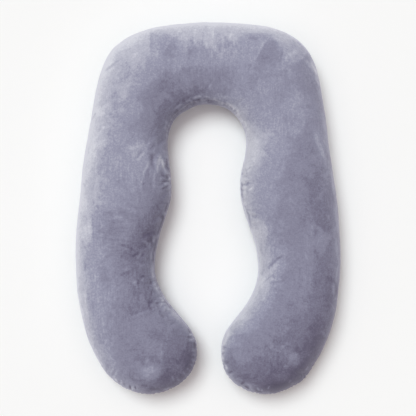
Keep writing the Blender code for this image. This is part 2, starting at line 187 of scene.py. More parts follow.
# A patch where the pile was stroked the other way: its middle, half its length and width, the way it
# lies in degrees from the X axis, its tone, and how soft its outline is
Patch = namedtuple("Patch", "x y length width turn tone blur")
PATCHES = [Patch(*row) for row in (
    (-0.147, 0.430, 0.032, 0.028, 0, -0.14, 0.24), (-0.184, 0.406, 0.056, 0.028, 35, -0.22, 0.25),
    (-0.133, 0.557, 0.052, 0.032, 90, -0.26, 0.18), (0.211, 0.529, 0.042, 0.032, 90, -0.20, 0.14),
    (0.183, 0.498, 0.060, 0.018, 53, -0.08, 0.14), (0.119, 0.522, 0.049, 0.021, 53, 0.06, 0.18),
    (0.174, 0.586, 0.042, 0.014, 0, -0.24, 0.16), (0.290, 0.546, 0.052, 0.038, -40, 0.09, 0.14),
    (0.013, 0.465, 0.140, 0.028, 0, -0.14, 0.25), (0.074, 0.478, 0.049, 0.028, 20, -0.12, 0.22),
    (0.010, 0.582, 0.038, 0.012, 90, 0.16, 0.22), (0.082, 0.597, 0.025, 0.018, 90, 0.14, 0.22),
    (-0.052, 0.557, 0.038, 0.011, 90, -0.16, 0.25), (-0.007, 0.571, 0.035, 0.009, 90, -0.12, 0.25),
    (0.068, 0.564, 0.021, 0.011, 90, -0.20, 0.25), (-0.272, 0.423, 0.105, 0.014, 74, 0.16, 0.25),
    (-0.231, 0.382, 0.091, 0.011, 80, -0.10, 0.25), (-0.263, 0.527, 0.038, 0.025, 40, 0.06, 0.22),
    (0.320, 0.359, 0.056, 0.038, -20, 0.19, 0.18), (0.272, 0.328, 0.032, 0.021, 10, 0.12, 0.22),
    (0.160, 0.376, 0.070, 0.042, -30, 0.06, 0.25), (0.024, 0.399, 0.077, 0.018, 0, -0.05, 0.22),
    (-0.225, 0.203, 0.060, 0.032, 40, 0.21, 0.24), (-0.162, 0.160, 0.032, 0.016, 80, 0.16, 0.22),
    (-0.161, 0.094, 0.035, 0.016, 90, 0.12, 0.22), (-0.171, 0.299, 0.049, 0.025, 70, -0.10, 0.22),
    (-0.380, 0.214, 0.084, 0.021, 82, 0.14, 0.22), (-0.327, 0.165, 0.077, 0.021, 86, 0.06, 0.25),
    (-0.213, -0.080, 0.056, 0.028, 75, -0.18, 0.22), (-0.260, -0.131, 0.052, 0.028, 5, -0.16, 0.22),
    (-0.277, -0.196, 0.063, 0.035, 90, -0.18, 0.23), (-0.213, -0.272, 0.038, 0.028, 80, -0.18, 0.22),
    (-0.195, -0.333, 0.025, 0.018, 40, -0.14, 0.22), (-0.272, -0.338, 0.070, 0.035, 80, -0.14, 0.28),
    (-0.344, -0.060, 0.060, 0.042, 90, -0.14, 0.12), (-0.415, -0.077, 0.032, 0.018, 90, 0.26, 0.16),
    (-0.430, -0.184, 0.063, 0.012, 90, 0.10, 0.22), (-0.273, -0.056, 0.028, 0.018, 20, 0.12, 0.22),
    (-0.145, -0.343, 0.045, 0.014, -50, 0.26, 0.22), (-0.341, -0.379, 0.070, 0.032, -78, 0.14, 0.28),
    (-0.346, -0.505, 0.045, 0.018, -55, 0.20, 0.16), (-0.380, -0.534, 0.042, 0.014, -60, 0.14, 0.18),
    (-0.208, -0.550, 0.018, 0.032, -10, 0.26, 0.14), (-0.191, -0.564, 0.032, 0.023, 15, 0.30, 0.15),
    (-0.251, -0.609, 0.028, 0.014, -25, 0.26, 0.22), (-0.106, -0.500, 0.045, 0.035, 80, -0.20, 0.20),
    (-0.144, -0.573, 0.025, 0.018, 20, -0.16, 0.22), (-0.197, -0.629, 0.032, 0.014, 0, -0.18, 0.22),
    (-0.283, -0.447, 0.056, 0.018, 90, -0.06, 0.25), (-0.360, 0.337, 0.028, 0.014, 50, 0.20, 0.14),
    (-0.359, 0.227, 0.021, 0.014, 60, 0.12, 0.20), (-0.409, 0.149, 0.070, 0.016, 76, 0.12, 0.15),
    (-0.238, 0.199, 0.032, 0.025, 30, 0.08, 0.20), (-0.454, -0.185, 0.084, 0.014, 92, 0.14, 0.16),
    (-0.402, -0.417, 0.091, 0.018, -74, 0.12, 0.14), (0.164, 0.190, 0.056, 0.018, 90, 0.20, 0.22),
    (0.336, 0.216, 0.052, 0.028, 90, -0.15, 0.22), (0.350, 0.070, 0.077, 0.028, -85, -0.14, 0.22),
    (0.181, -0.063, 0.038, 0.014, -70, 0.30, 0.22), (0.216, -0.183, 0.045, 0.021, -75, 0.14, 0.22),
    (0.385, -0.108, 0.032, 0.025, 60, 0.16, 0.16), (0.418, -0.142, 0.049, 0.014, 86, 0.06, 0.20),
    (0.392, -0.029, 0.042, 0.028, 100, -0.09, 0.16), (0.382, -0.251, 0.084, 0.028, 76, -0.05, 0.15),
    (0.358, -0.428, 0.063, 0.025, 70, -0.18, 0.25), (0.314, -0.546, 0.042, 0.028, 50, -0.12, 0.20),
    (0.275, -0.499, 0.035, 0.021, 80, 0.18, 0.22), (0.293, -0.520, 0.021, 0.018, 60, 0.22, 0.14),
    (0.323, -0.462, 0.021, 0.014, 20, 0.05, 0.16), (0.229, -0.608, 0.052, 0.021, 0, -0.32, 0.22),
    (0.079, -0.479, 0.056, 0.021, 85, -0.26, 0.22), (0.177, -0.536, 0.070, 0.045, 0, -0.12, 0.25),
    (0.301, -0.563, 0.028, 0.018, 30, -0.18, 0.22), (0.262, -0.169, 0.049, 0.032, 80, 0.05, 0.25),
    (0.137, -0.615, 0.032, 0.014, -20, 0.08, 0.22), (-0.181, 0.569, 0.112, 0.028, 8, -0.12, 0.33),
    (0.129, 0.561, 0.042, 0.028, 0, -0.22, 0.33), (-0.314, 0.459, 0.049, 0.038, 55, -0.15, 0.33),
    (-0.110, 0.358, 0.063, 0.028, 20, -0.16, 0.33), (-0.017, 0.419, 0.056, 0.035, 0, -0.13, 0.33),
    (0.123, 0.357, 0.035, 0.028, 0, 0.13, 0.33), (-0.195, 0.220, 0.032, 0.028, 0, -0.18, 0.28),
    (-0.208, 0.145, 0.070, 0.028, -10, 0.18, 0.28), (-0.369, 0.145, 0.052, 0.028, 80, -0.16, 0.33),
    (-0.265, 0.076, 0.056, 0.028, 0, 0.13, 0.33), (0.165, -0.088, 0.049, 0.021, -75, 0.17, 0.28),
    (0.379, 0.228, 0.042, 0.021, -72, 0.20, 0.25), (-0.198, -0.333, 0.063, 0.028, 0, -0.15, 0.33),
    (0.245, -0.325, 0.045, 0.038, 0, -0.18, 0.33), (-0.103, -0.473, 0.035, 0.021, 80, 0.16, 0.28),
    (0.324, 0.466, 0.028, 0.032, 0, -0.05, 0.22), (0.075, 0.360, 0.049, 0.025, 0, 0.11, 0.33),
    (0.244, 0.226, 0.119, 0.042, 0, 0.11, 0.33), (0.200, 0.148, 0.035, 0.025, 0, -0.12, 0.28),
    (-0.215, 0.114, 0.077, 0.045, 0, 0.11, 0.33), (-0.273, -0.189, 0.063, 0.028, 0, 0.12, 0.33),
    (0.354, -0.128, 0.077, 0.035, 0, 0.15, 0.33), (0.199, -0.256, 0.035, 0.028, 0, 0.15, 0.28),
    (0.204, -0.393, 0.042, 0.028, 0, -0.12, 0.33), (-0.283, -0.464, 0.032, 0.025, 0, 0.12, 0.28),
    (0.178, -0.081, 0.025, 0.049, 0, 0.14, 0.28), (-0.062, -0.522, 0.045, 0.021, 78, -0.28, 0.30),
    (-0.145, -0.611, 0.060, 0.018, -18, -0.22, 0.30), (0.065, -0.529, 0.045, 0.021, -72, -0.24, 0.30),
    (0.268, -0.610, 0.063, 0.021, 18, -0.28, 0.30), (0.355, -0.547, 0.042, 0.018, 55, -0.20, 0.30),
    (0.389, -0.470, 0.035, 0.014, 66, -0.12, 0.30), (-0.200, 0.599, 0.063, 0.018, 0, -0.20, 0.30),
    (0.109, 0.601, 0.091, 0.014, -3, -0.17, 0.30), (-0.294, 0.518, 0.049, 0.028, 45, -0.17, 0.30),
    (-0.342, 0.370, 0.088, 0.028, 78, -0.14, 0.30), (-0.231, 0.396, 0.091, 0.018, 85, 0.15, 0.30),
    (0.024, 0.390, 0.035, 0.014, 0, 0.17, 0.30), (0.306, 0.287, 0.042, 0.021, 90, 0.14, 0.30),
    (0.407, 0.250, 0.049, 0.014, -75, 0.20, 0.30), (0.319, 0.063, 0.032, 0.018, 90, 0.14, 0.30),
    (0.135, -0.023, 0.028, 0.018, -75, 0.20, 0.30), (-0.344, -0.019, 0.077, 0.032, 90, 0.12, 0.30),
    (-0.198, -0.386, 0.049, 0.021, 90, 0.08, 0.30), (0.371, -0.493, 0.067, 0.021, 68, -0.20, 0.30),
    (0.327, -0.577, 0.035, 0.021, 48, -0.22, 0.30), (0.233, -0.617, 0.070, 0.018, 8, -0.22, 0.30),
    (0.123, -0.581, 0.035, 0.028, -40, -0.15, 0.30), (0.109, -0.430, 0.042, 0.018, -60, -0.24, 0.30),
    (0.109, -0.532, 0.042, 0.021, 90, -0.14, 0.30), (-0.199, -0.601, 0.028, 0.014, 0, 0.20, 0.30),
    (0.205, -0.239, 0.077, 0.021, 85, 0.10, 0.30), (-0.198, 0.176, 0.028, 0.018, 60, 0.12, 0.30),
    (-0.165, 0.063, 0.032, 0.014, 90, 0.13, 0.30), (0.354, 0.483, 0.032, 0.021, -60, 0.22, 0.28),
    (0.194, 0.356, 0.042, 0.035, 0, -0.08, 0.30), (0.136, 0.430, 0.063, 0.028, 0, -0.15, 0.30),
    (0.440, -0.129, 0.112, 0.014, -88, 0.32, 0.30), (0.228, -0.522, 0.056, 0.028, 70, -0.10, 0.30),
    (-0.225, 0.111, 0.035, 0.021, 80, -0.13, 0.30), (0.305, 0.124, 0.056, 0.028, 90, -0.15, 0.30),
    (-0.266, -0.094, 0.021, 0.021, 0, -0.10, 0.30), (-0.267, -0.206, 0.035, 0.025, 90, -0.10, 0.30),
    (-0.232, -0.515, 0.045, 0.018, 0, -0.12, 0.30), (0.135, -0.033, 0.021, 0.014, -70, 0.12, 0.30),
    (-0.116, 0.451, 0.032, 0.025, 0, -0.12, 0.30), (0.044, 0.571, 0.032, 0.018, 90, 0.14, 0.25),
    (-0.007, 0.533, 0.042, 0.032, 90, -0.07, 0.30), (-0.131, 0.325, 0.028, 0.014, 55, 0.14, 0.25),
    (0.144, -0.349, 0.032, 0.018, -45, -0.14, 0.30), (0.249, -0.155, 0.025, 0.021, 0, 0.09, 0.30),
    (0.396, -0.183, 0.049, 0.021, 80, 0.10, 0.30), (-0.369, 0.186, 0.021, 0.018, 0, 0.10, 0.30),
    (-0.419, -0.012, 0.038, 0.014, 90, 0.11, 0.30), (0.150, -0.573, 0.042, 0.025, 0, -0.08, 0.30),
    (0.303, -0.465, 0.032, 0.018, 35, -0.12, 0.30), (0.390, 0.180, 0.077, 0.014, -72, 0.14, 0.25),
)]

# A crease in the upper side: where it starts and ends, how far its middle bows to the left of the way it
# runs, as a share of its length, half its width, its depth, and the tone of the painted highlight along its
# raised lip, with painted shade in its trough
Crease = namedtuple("Crease", "x0 y0 x1 y1 bow width depth tone")
CREASES = [Crease(*row) for row in (
    (-0.218, 0.199, -0.252, 0.161, -0.02, 0.0046, 0.0008, 0.06),
    (-0.168, 0.269, -0.212, 0.206, -0.10, 0.0063, 0.0012, 0.06),
    (-0.194, 0.159, -0.220, 0.049, -0.10, 0.0046, 0.0010, 0.03),
    (-0.175, 0.200, -0.188, 0.125, -0.10, 0.0070, 0.0026, 0.12),
    (-0.142, 0.168, -0.165, 0.125, 0.15, 0.0063, 0.0024, 0.14),
    (-0.132, 0.096, -0.175, 0.070, -0.12, 0.0056, 0.0017, 0.20),
    (-0.139, 0.133, -0.165, 0.108, -0.10, 0.0049, 0.0015, 0.14),
    (-0.129, 0.058, -0.168, 0.033, -0.10, 0.0063, 0.0018, 0.16),
    (-0.143, 0.239, -0.175, 0.211, -0.15, 0.0056, 0.0018, 0.20),
    (-0.150, -0.023, -0.199, -0.053, -0.12, 0.0070, 0.0016, 0.14),
    (-0.180, -0.081, -0.233, -0.108, -0.15, 0.0070, 0.0020, 0.16),
    (-0.190, -0.130, -0.246, -0.142, -0.10, 0.0063, 0.0020, 0.16),
    (-0.210, -0.149, -0.237, -0.183, -0.15, 0.0046, 0.0016, 0.22),
    (-0.194, -0.185, -0.253, -0.162, 0.15, 0.0070, 0.0016, 0.14),
    (-0.184, -0.248, -0.209, -0.286, -0.15, 0.0063, 0.0020, 0.20),
    (-0.166, -0.306, -0.208, -0.332, -0.12, 0.0053, 0.0020, 0.24),
    (-0.223, -0.272, -0.235, -0.318, -0.10, 0.0042, 0.0014, 0.22),
    (-0.146, -0.330, -0.174, -0.364, -0.12, 0.0053, 0.0020, 0.24),
    (-0.125, -0.358, -0.154, -0.381, -0.12, 0.0049, 0.0016, 0.20),
    (-0.198, -0.343, -0.252, -0.369, -0.12, 0.0056, 0.0016, 0.16),
    (-0.104, -0.388, -0.137, -0.405, -0.10, 0.0049, 0.0014, 0.16),
    (-0.075, 0.441, -0.072, 0.385, -0.05, 0.0039, 0.0010, 0.22),
    (-0.184, 0.369, -0.181, 0.322, -0.05, 0.0039, 0.0010, 0.18),
    (0.013, 0.432, -0.004, 0.409, -0.10, 0.0039, 0.0010, 0.18),
    (-0.106, 0.371, -0.143, 0.397, -0.10, 0.0063, 0.0014, 0.12),
    (-0.042, 0.389, -0.052, 0.425, -0.05, 0.0056, 0.0012, 0.10),
    (0.048, 0.386, 0.064, 0.418, -0.05, 0.0056, 0.0012, 0.10),
    (0.096, 0.359, 0.133, 0.383, -0.05, 0.0056, 0.0012, 0.10),
    (0.121, 0.130, 0.151, 0.146, -0.12, 0.0049, 0.0018, 0.20),
    (0.121, 0.088, 0.157, 0.097, -0.12, 0.0053, 0.0014, 0.15),
    (0.121, 0.057, 0.154, 0.070, 0.12, 0.0053, 0.0016, 0.18),
    (0.127, 0.029, 0.132, -0.016, -0.10, 0.0046, 0.0014, 0.22),
    (0.135, -0.019, 0.171, -0.026, -0.10, 0.0053, 0.0018, 0.18),
    (0.152, -0.057, 0.184, -0.046, -0.10, 0.0056, 0.0014, 0.16),
    (0.262, -0.157, 0.210, -0.208, -0.09, 0.0049, 0.0009, 0.04),
    (0.189, -0.257, 0.235, -0.224, -0.10, 0.0053, 0.0006, 0.04),
    (0.205, -0.256, 0.272, -0.247, -0.03, 0.0053, 0.0005, 0.03),
    (0.172, -0.315, 0.211, -0.329, -0.10, 0.0063, 0.0012, 0.14),
    (0.110, -0.391, 0.157, -0.374, -0.12, 0.0063, 0.0012, 0.14),
    (0.079, -0.439, 0.123, -0.426, -0.10, 0.0056, 0.0012, 0.14),
    (0.329, 0.509, 0.381, 0.449, -0.12, 0.0053, 0.0012, 0.14),
    (0.282, 0.369, 0.313, 0.339, -0.25, 0.0046, 0.0010, 0.16),
    (-0.383, 0.433, -0.336, 0.467, -0.12, 0.0056, 0.0012, 0.10),
    (-0.395, 0.348, -0.360, 0.371, -0.12, 0.0056, 0.0010, 0.10),
    (-0.358, 0.470, -0.308, 0.508, -0.10, 0.0063, 0.0012, 0.10),
    (0.420, 0.133, 0.389, 0.111, -0.10, 0.0053, 0.0012, 0.14),
    (0.448, -0.212, 0.418, -0.183, -0.10, 0.0053, 0.0010, 0.12),
    (-0.299, 0.012, -0.249, -0.046, -0.20, 0.0070, 0.0009, 0.08),
    (-0.368, 0.131, -0.393, 0.029, -0.10, 0.0070, 0.0009, 0.10),
    (0.204, -0.468, 0.255, -0.495, -0.15, 0.0053, 0.0010, 0.14),
)]

# A line along which the pile looks lighter or darker than beside it, partly the pile's own lines and partly
# painted shade and painted highlight along folds too fine for the mesh: where it starts and ends, its tone,
# and its bow and half width as for a crease, straight and 3.9 mm where they aren't given
PileOrFoldLine = namedtuple("PileOrFoldLine", "x0 y0 x1 y1 tone bow width", defaults=(0.0, 0.0039))
PILE_AND_FOLD_LINES = [PileOrFoldLine(*row) for row in (
    (-0.072, -0.412, -0.060, -0.435, -1.20), (-0.069, -0.436, -0.051, -0.438, 0.75, 0, 0.0033),
    (-0.076, -0.442, -0.053, -0.446, -0.52, 0, 0.0035), (-0.068, -0.453, -0.049, -0.454, 0.63, 0, 0.0033),
    (-0.076, -0.462, -0.049, -0.467, -0.33, 0, 0.0042), (-0.050, -0.459, -0.042, -0.491, -1.20, 0, 0.0035),
    (-0.059, -0.487, -0.043, -0.495, 0.48, 0, 0.0033), (-0.057, -0.502, -0.043, -0.510, 0.45, 0, 0.0033),
    (-0.059, -0.517, -0.045, -0.527, 0.42, 0, 0.0033), (-0.066, -0.532, -0.051, -0.549, 0.39, 0, 0.0033),
    (-0.074, -0.546, -0.060, -0.566, 0.33, 0, 0.0033), (-0.086, -0.560, -0.073, -0.585, 0.33, 0, 0.0033),
    (-0.110, -0.575, -0.099, -0.599, 0.33, 0, 0.0033), (-0.127, -0.570, -0.116, -0.594, 0.39, 0, 0.0033),
    (-0.097, -0.565, -0.087, -0.588, -0.38, 0, 0.0033), (-0.321, -0.585, -0.315, -0.604, 0.75, 0, 0.0033),
    (-0.309, -0.591, -0.308, -0.614, -0.83, 0, 0.0033), (-0.300, -0.585, -0.297, -0.606, 0.57, 0, 0.0033),
    (-0.292, -0.596, -0.288, -0.618, -0.30, 0, 0.0033), (-0.282, -0.599, -0.278, -0.620, 0.30, 0, 0.0033),
    (-0.269, -0.604, -0.268, -0.629, -1.20, 0, 0.0033), (-0.262, -0.606, -0.263, -0.633, 0.75, 0, 0.0033),
    (-0.256, -0.602, -0.256, -0.630, 0.38, 0, 0.0033), (-0.251, -0.607, -0.249, -0.624, -0.83, 0, 0.0033),
    (-0.245, -0.605, -0.244, -0.628, 0.52, 0, 0.0033), (-0.237, -0.601, -0.203, -0.609, -0.34, 0, 0.0066),
    (-0.210, -0.615, -0.176, -0.619, -0.42, 0, 0.0059), (-0.199, -0.629, -0.168, -0.629, 0.33, 0, 0.0033),
    (-0.161, -0.626, -0.112, -0.617, 0.45), (-0.105, -0.615, -0.075, -0.588, 0.33),
    (-0.256, -0.561, -0.233, -0.582, 0.19, -0.10, 0.0049),
    (-0.171, -0.502, -0.152, -0.482, 0.45, -0.05, 0.0042),
    (-0.204, -0.502, -0.211, -0.529, 0.30, 0, 0.0033), (0.044, -0.484, 0.071, -0.411, 0.45, -0.10, 0.0042),
    (0.046, -0.465, 0.062, -0.468, 0.42, 0, 0.0033), (0.048, -0.481, 0.067, -0.479, -0.42, 0, 0.0033),
    (0.045, -0.494, 0.060, -0.492, 0.54, 0, 0.0033), (0.043, -0.507, 0.056, -0.502, -0.68, 0, 0.0033),
    (0.046, -0.516, 0.056, -0.522, 0.68, 0, 0.0033), (0.054, -0.528, 0.074, -0.532, -0.43, 0, 0.0049),
    (0.059, -0.537, 0.069, -0.559, 0.68, 0, 0.0042), (0.052, -0.547, 0.059, -0.561, -0.90, 0, 0.0033),
    (0.068, -0.569, 0.087, -0.558, -0.60, 0, 0.0033), (0.074, -0.576, 0.086, -0.570, 0.38, 0, 0.0033),
    (0.096, -0.580, 0.122, -0.594, 0.45, 0, 0.0035), (0.112, -0.607, 0.123, -0.596, -0.60, 0, 0.0033),
    (0.123, -0.596, 0.156, -0.610, 0.50, -0.05, 0.0056), (0.126, -0.610, 0.142, -0.622, -0.90, 0, 0.0033),
    (0.142, -0.611, 0.153, -0.627, 0.52, 0, 0.0033), (0.160, -0.626, 0.190, -0.635, -0.90, 0, 0.0035),
    (0.167, -0.612, 0.178, -0.629, 0.60, 0, 0.0033), (0.182, -0.631, 0.189, -0.619, 0.60, 0, 0.0033),
    (0.204, -0.622, 0.211, -0.605, 0.75, 0, 0.0033), (0.206, -0.629, 0.236, -0.632, -0.38),
    (0.260, -0.633, 0.290, -0.625, 0.42, 0, 0.0035), (0.275, -0.600, 0.285, -0.586, 0.48, 0, 0.0033),
    (0.241, -0.481, 0.258, -0.463, 0.51, 0, 0.0033), (0.237, -0.451, 0.248, -0.458, 0.45, 0, 0.0033),
    (0.293, -0.508, 0.304, -0.489, 0.45, 0, 0.0033), (0.332, -0.560, 0.346, -0.540, 0.63),
    (0.340, -0.584, 0.377, -0.533, 0.21), (0.381, -0.520, 0.411, -0.448, 0.22, -0.03, 0.0049),
    (0.390, -0.415, 0.404, -0.445, 0.33, 0, 0.0042), (0.255, -0.541, 0.271, -0.534, 0.42, 0, 0.0033),
    (0.098, -0.642, 0.111, -0.616, 0.30, 0, 0.0033), (-0.164, 0.190, -0.173, 0.139, 0.50, 0, 0.0059),
    (-0.173, 0.152, -0.177, 0.118, 0.33), (-0.186, 0.200, -0.183, 0.128, -0.48, -0.12, 0.0059),
    (-0.182, 0.241, -0.214, 0.172, 0.24, -0.14), (-0.220, 0.201, -0.250, 0.166, -0.45),
    (-0.215, 0.194, -0.249, 0.161, 0.18), (-0.172, 0.282, -0.193, 0.246, 0.30),
    (-0.178, 0.222, -0.201, 0.196, -0.30, -0.05), (-0.174, 0.224, -0.192, 0.172, 0.24, -0.06),
    (-0.196, 0.164, -0.225, 0.046, 0.33, -0.10), (-0.191, 0.155, -0.216, 0.053, -0.24, -0.10),
    (-0.179, 0.138, -0.185, 0.053, 0.24, -0.05), (-0.163, 0.115, -0.165, 0.074, 0.30),
    (-0.166, 0.132, -0.140, 0.102, -0.48, -0.10, 0.0042), (-0.147, 0.109, -0.137, 0.101, -0.90),
    (-0.161, 0.180, -0.137, 0.111, 0.63, -0.07), (-0.145, 0.182, -0.134, 0.120, -0.68, -0.05),
    (-0.153, 0.082, -0.137, 0.091, 0.41, 0, 0.0046), (-0.163, 0.066, -0.137, 0.077, -0.63),
    (-0.175, 0.019, -0.170, -0.010, -0.31, 0, 0.0056),
    (-0.161, -0.012, -0.158, -0.065, -0.45, 0.05, 0.0042), (-0.152, -0.040, -0.184, -0.114, 0.54, 0.06),
    (-0.134, 0.099, -0.133, 0.043, 0.45), (-0.154, 0.002, -0.149, -0.033, 0.27),
    (-0.206, -0.081, -0.196, -0.108, -0.22), (-0.189, -0.074, -0.183, -0.102, -0.38),
    (-0.138, 0.023, -0.152, -0.017, -0.68), (-0.151, -0.014, -0.179, -0.098, -0.83, 0.03),
    (-0.178, -0.095, -0.191, -0.157, -0.75, 0.04), (-0.191, -0.150, -0.192, -0.192, -0.60),
    (-0.133, 0.023, -0.146, -0.033, 0.60), (-0.178, -0.102, -0.185, -0.173, 0.60, 0.04),
    (-0.185, -0.088, -0.191, -0.123, 0.68), (-0.197, -0.142, -0.198, -0.181, 0.54),
    (-0.194, -0.185, -0.188, -0.264, 0.45, -0.03, 0.0042),
    (-0.188, -0.264, -0.163, -0.307, 0.29, 0.04, 0.0046), (-0.183, -0.245, -0.154, -0.314, -0.60, 0.04),
    (-0.154, -0.314, -0.128, -0.348, -0.54), (-0.205, -0.112, -0.199, -0.133, 0.45),
    (-0.127, -0.351, -0.116, -0.367, 0.42), (-0.057, 0.378, -0.018, 0.387, 0.75, 0.05),
    (-0.019, 0.387, 0.012, 0.378, 0.54, 0.06), (0.015, 0.381, 0.036, 0.369, 0.54),
    (-0.122, 0.334, -0.085, 0.362, 0.57, 0.08), (-0.081, 0.365, -0.059, 0.375, 0.33),
    (-0.103, 0.368, -0.052, 0.390, -0.19, 0, 0.0070), (-0.124, 0.343, -0.095, 0.365, -0.21, 0, 0.0042),
    (-0.011, 0.375, 0.038, 0.364, -0.33, -0.03), (-0.056, 0.370, -0.018, 0.379, -0.33),
    (0.060, 0.371, 0.095, 0.336, 0.54, 0.05), (0.077, 0.364, 0.112, 0.318, 0.39, 0.06),
    (0.071, 0.358, 0.105, 0.323, -0.36, 0.05), (0.098, 0.332, 0.120, 0.297, 0.54, 0.05, 0.0042),
    (0.137, 0.278, 0.140, 0.269, 0.63), (-0.002, 0.415, 0.011, 0.428, 0.27),
    (-0.080, 0.394, -0.077, 0.423, 0.39), (-0.028, 0.406, -0.020, 0.422, 0.24),
    (0.125, 0.308, 0.133, 0.278, 0.24), (-0.139, 0.315, -0.149, 0.267, 0.36, -0.05),
    (0.122, 0.162, 0.117, 0.102, -0.60), (0.117, 0.106, 0.124, 0.016, -1.05, -0.04),
    (0.125, 0.019, 0.151, -0.075, -0.75, 0.04), (0.125, 0.091, 0.129, 0.033, 0.30),
    (0.126, 0.009, 0.141, -0.047, 0.36), (0.125, 0.169, 0.136, 0.203, 0.30, -0.10),
    (0.150, 0.139, 0.136, 0.122, 0.39, -0.10), (0.145, 0.094, 0.131, 0.074, -0.45, -0.10),
    (0.155, 0.072, 0.137, 0.058, 0.39, -0.10), (0.165, -0.071, 0.148, -0.087, 0.33),
    (0.186, -0.185, 0.161, -0.215, 0.33, -0.10), (0.356, 0.494, 0.393, 0.426, 0.39, 0.06),
    (0.363, 0.251, 0.406, 0.132, 0.17, 0.05, 0.0077), (0.379, 0.228, 0.415, 0.112, 0.17, 0.03, 0.0053),
    (0.360, 0.254, 0.376, 0.241, 0.21, 0, 0.0042), (0.424, 0.133, 0.435, 0.043, 0.33),
    (0.435, 0.043, 0.459, -0.096, 0.27, 0.02), (0.334, 0.356, 0.369, 0.344, -0.30, -0.10),
    (-0.382, 0.335, -0.403, 0.304, -0.45, -0.05), (-0.359, 0.275, -0.377, 0.265, -0.36),
    (-0.399, 0.316, -0.409, 0.286, -0.30), (-0.345, 0.281, -0.373, 0.258, 0.33, -0.10),
    (-0.440, 0.116, -0.422, 0.077, -0.39, -0.10), (-0.417, 0.105, -0.425, 0.064, -0.30),
    (-0.430, -0.094, -0.419, -0.142, -0.33, -0.10), (-0.418, -0.183, -0.426, -0.218, -0.30),
    (-0.042, 0.620, -0.048, 0.554, 0.30), (-0.011, 0.612, -0.014, 0.506, 0.21),
    (0.020, 0.620, 0.013, 0.561, 0.21), (-0.062, 0.561, -0.065, 0.499, -0.21),
    (0.061, 0.597, 0.054, 0.540, -0.24), (0.082, 0.612, 0.071, 0.564, 0.24),
    (-0.272, 0.219, -0.252, 0.199, 0.30, -0.10, 0.0042), (-0.355, 0.237, -0.348, 0.213, 0.12, 0, 0.0046),
    (0.261, -0.159, 0.209, -0.208, -0.51, -0.09), (0.214, -0.183, 0.208, -0.211, -0.36),
    (0.189, -0.257, 0.237, -0.226, -0.33, 0.10), (0.205, -0.258, 0.282, -0.247, -0.30, 0.04),
    (0.212, -0.270, 0.265, -0.286, -0.24), (0.239, -0.231, 0.266, -0.242, -0.21),
    (0.198, -0.201, 0.184, -0.233, -0.33), (0.202, -0.239, 0.188, -0.248, 0.15),
    (0.264, -0.159, 0.276, -0.179, -0.21), (0.340, -0.022, 0.334, -0.182, 0.21),
    (0.359, -0.043, 0.351, -0.107, 0.27, -0.04), (0.357, -0.107, 0.380, -0.186, -0.33, -0.06),
    (0.364, -0.046, 0.363, -0.107, -0.21), (0.332, -0.203, 0.328, -0.308, 0.18),
    (0.356, -0.169, 0.346, -0.285, 0.21, -0.03), (0.348, -0.107, 0.354, -0.148, 0.18),
    (0.434, 0.019, 0.454, -0.095, 0.33, -0.02), (0.440, -0.095, 0.450, -0.185, 0.30, -0.02),
    (0.451, -0.185, 0.441, -0.295, 0.30, -0.03), (0.431, -0.253, 0.433, -0.301, 0.51, 0, 0.0042),
    (0.442, -0.250, 0.445, -0.307, -0.45), (0.408, -0.019, 0.417, -0.046, 0.39),
    (0.414, -0.046, 0.409, -0.067, 0.27), (0.307, 0.582, 0.322, 0.559, -0.45, -0.04),
    (0.345, 0.543, 0.367, 0.507, -0.51, -0.03), (0.349, 0.515, 0.378, 0.460, 0.33, -0.03),
    (0.329, 0.514, 0.357, 0.476, 0.18, -0.05), (0.363, 0.456, 0.390, 0.420, 0.36, -0.03),
    (0.352, 0.472, 0.379, 0.423, -0.27, -0.04), (0.257, 0.554, 0.244, 0.495, -0.24),
    (0.279, 0.478, 0.277, 0.444, 0.18), (0.290, 0.471, 0.291, 0.441, 0.18),
    (-0.287, 0.517, -0.358, 0.466, -0.30, -0.03, 0.0042), (-0.294, 0.507, -0.347, 0.465, 0.12, -0.03),
    (-0.197, 0.621, -0.194, 0.519, -0.24), (0.196, 0.580, 0.153, 0.496, 0.18),
    (0.149, 0.498, 0.132, 0.457, -0.18), (-0.395, -0.005, -0.391, -0.118, -0.21),
    (-0.310, -0.120, -0.240, -0.158, -0.20, 0.10), (-0.307, -0.131, -0.253, -0.162, 0.18, 0.08),
    (-0.378, -0.169, -0.331, -0.119, 0.24, 0.16), (-0.367, -0.182, -0.314, -0.135, 0.15, 0.14),
    (-0.355, -0.080, -0.280, -0.070, -0.15, 0.05), (-0.355, -0.039, -0.286, -0.032, 0.15, 0.05),
    (-0.341, -0.056, -0.259, -0.046, -0.15, 0.06), (-0.327, -0.100, -0.253, -0.108, 0.15, 0.06),
    (-0.197, -0.067, -0.195, -0.126, -0.24), (-0.208, -0.091, -0.201, -0.136, -0.18),
    (-0.224, -0.104, -0.200, -0.143, 0.42, 0.05), (-0.244, -0.176, -0.228, -0.151, 0.45),
    (-0.263, -0.166, -0.234, -0.148, -0.39), (-0.223, -0.183, -0.230, -0.146, -0.24),
    (-0.260, -0.202, -0.297, -0.220, 0.24, -0.05), (-0.260, -0.210, -0.304, -0.232, -0.24, -0.05),
    (-0.241, -0.265, -0.236, -0.238, -0.51), (-0.238, -0.241, -0.216, -0.230, -0.39, 0.10),
    (-0.231, -0.248, -0.220, -0.238, 0.51), (-0.261, -0.257, -0.243, -0.248, 0.34, 0, 0.0046),
    (-0.211, -0.232, -0.195, -0.267, -0.24, 0.10, 0.0042),
    (-0.195, -0.263, -0.208, -0.332, -0.39, 0.08, 0.0042), (-0.193, -0.250, -0.176, -0.298, 0.30, 0.06),
    (-0.176, -0.295, -0.145, -0.337, 0.24, 0.04), (-0.257, -0.257, -0.244, -0.305, -0.30),
    (-0.206, -0.326, -0.191, -0.280, 0.39, -0.08), (-0.207, -0.309, -0.193, -0.353, -0.42),
    (-0.189, -0.310, -0.210, -0.346, -0.39), (-0.202, -0.319, -0.198, -0.343, 0.30),
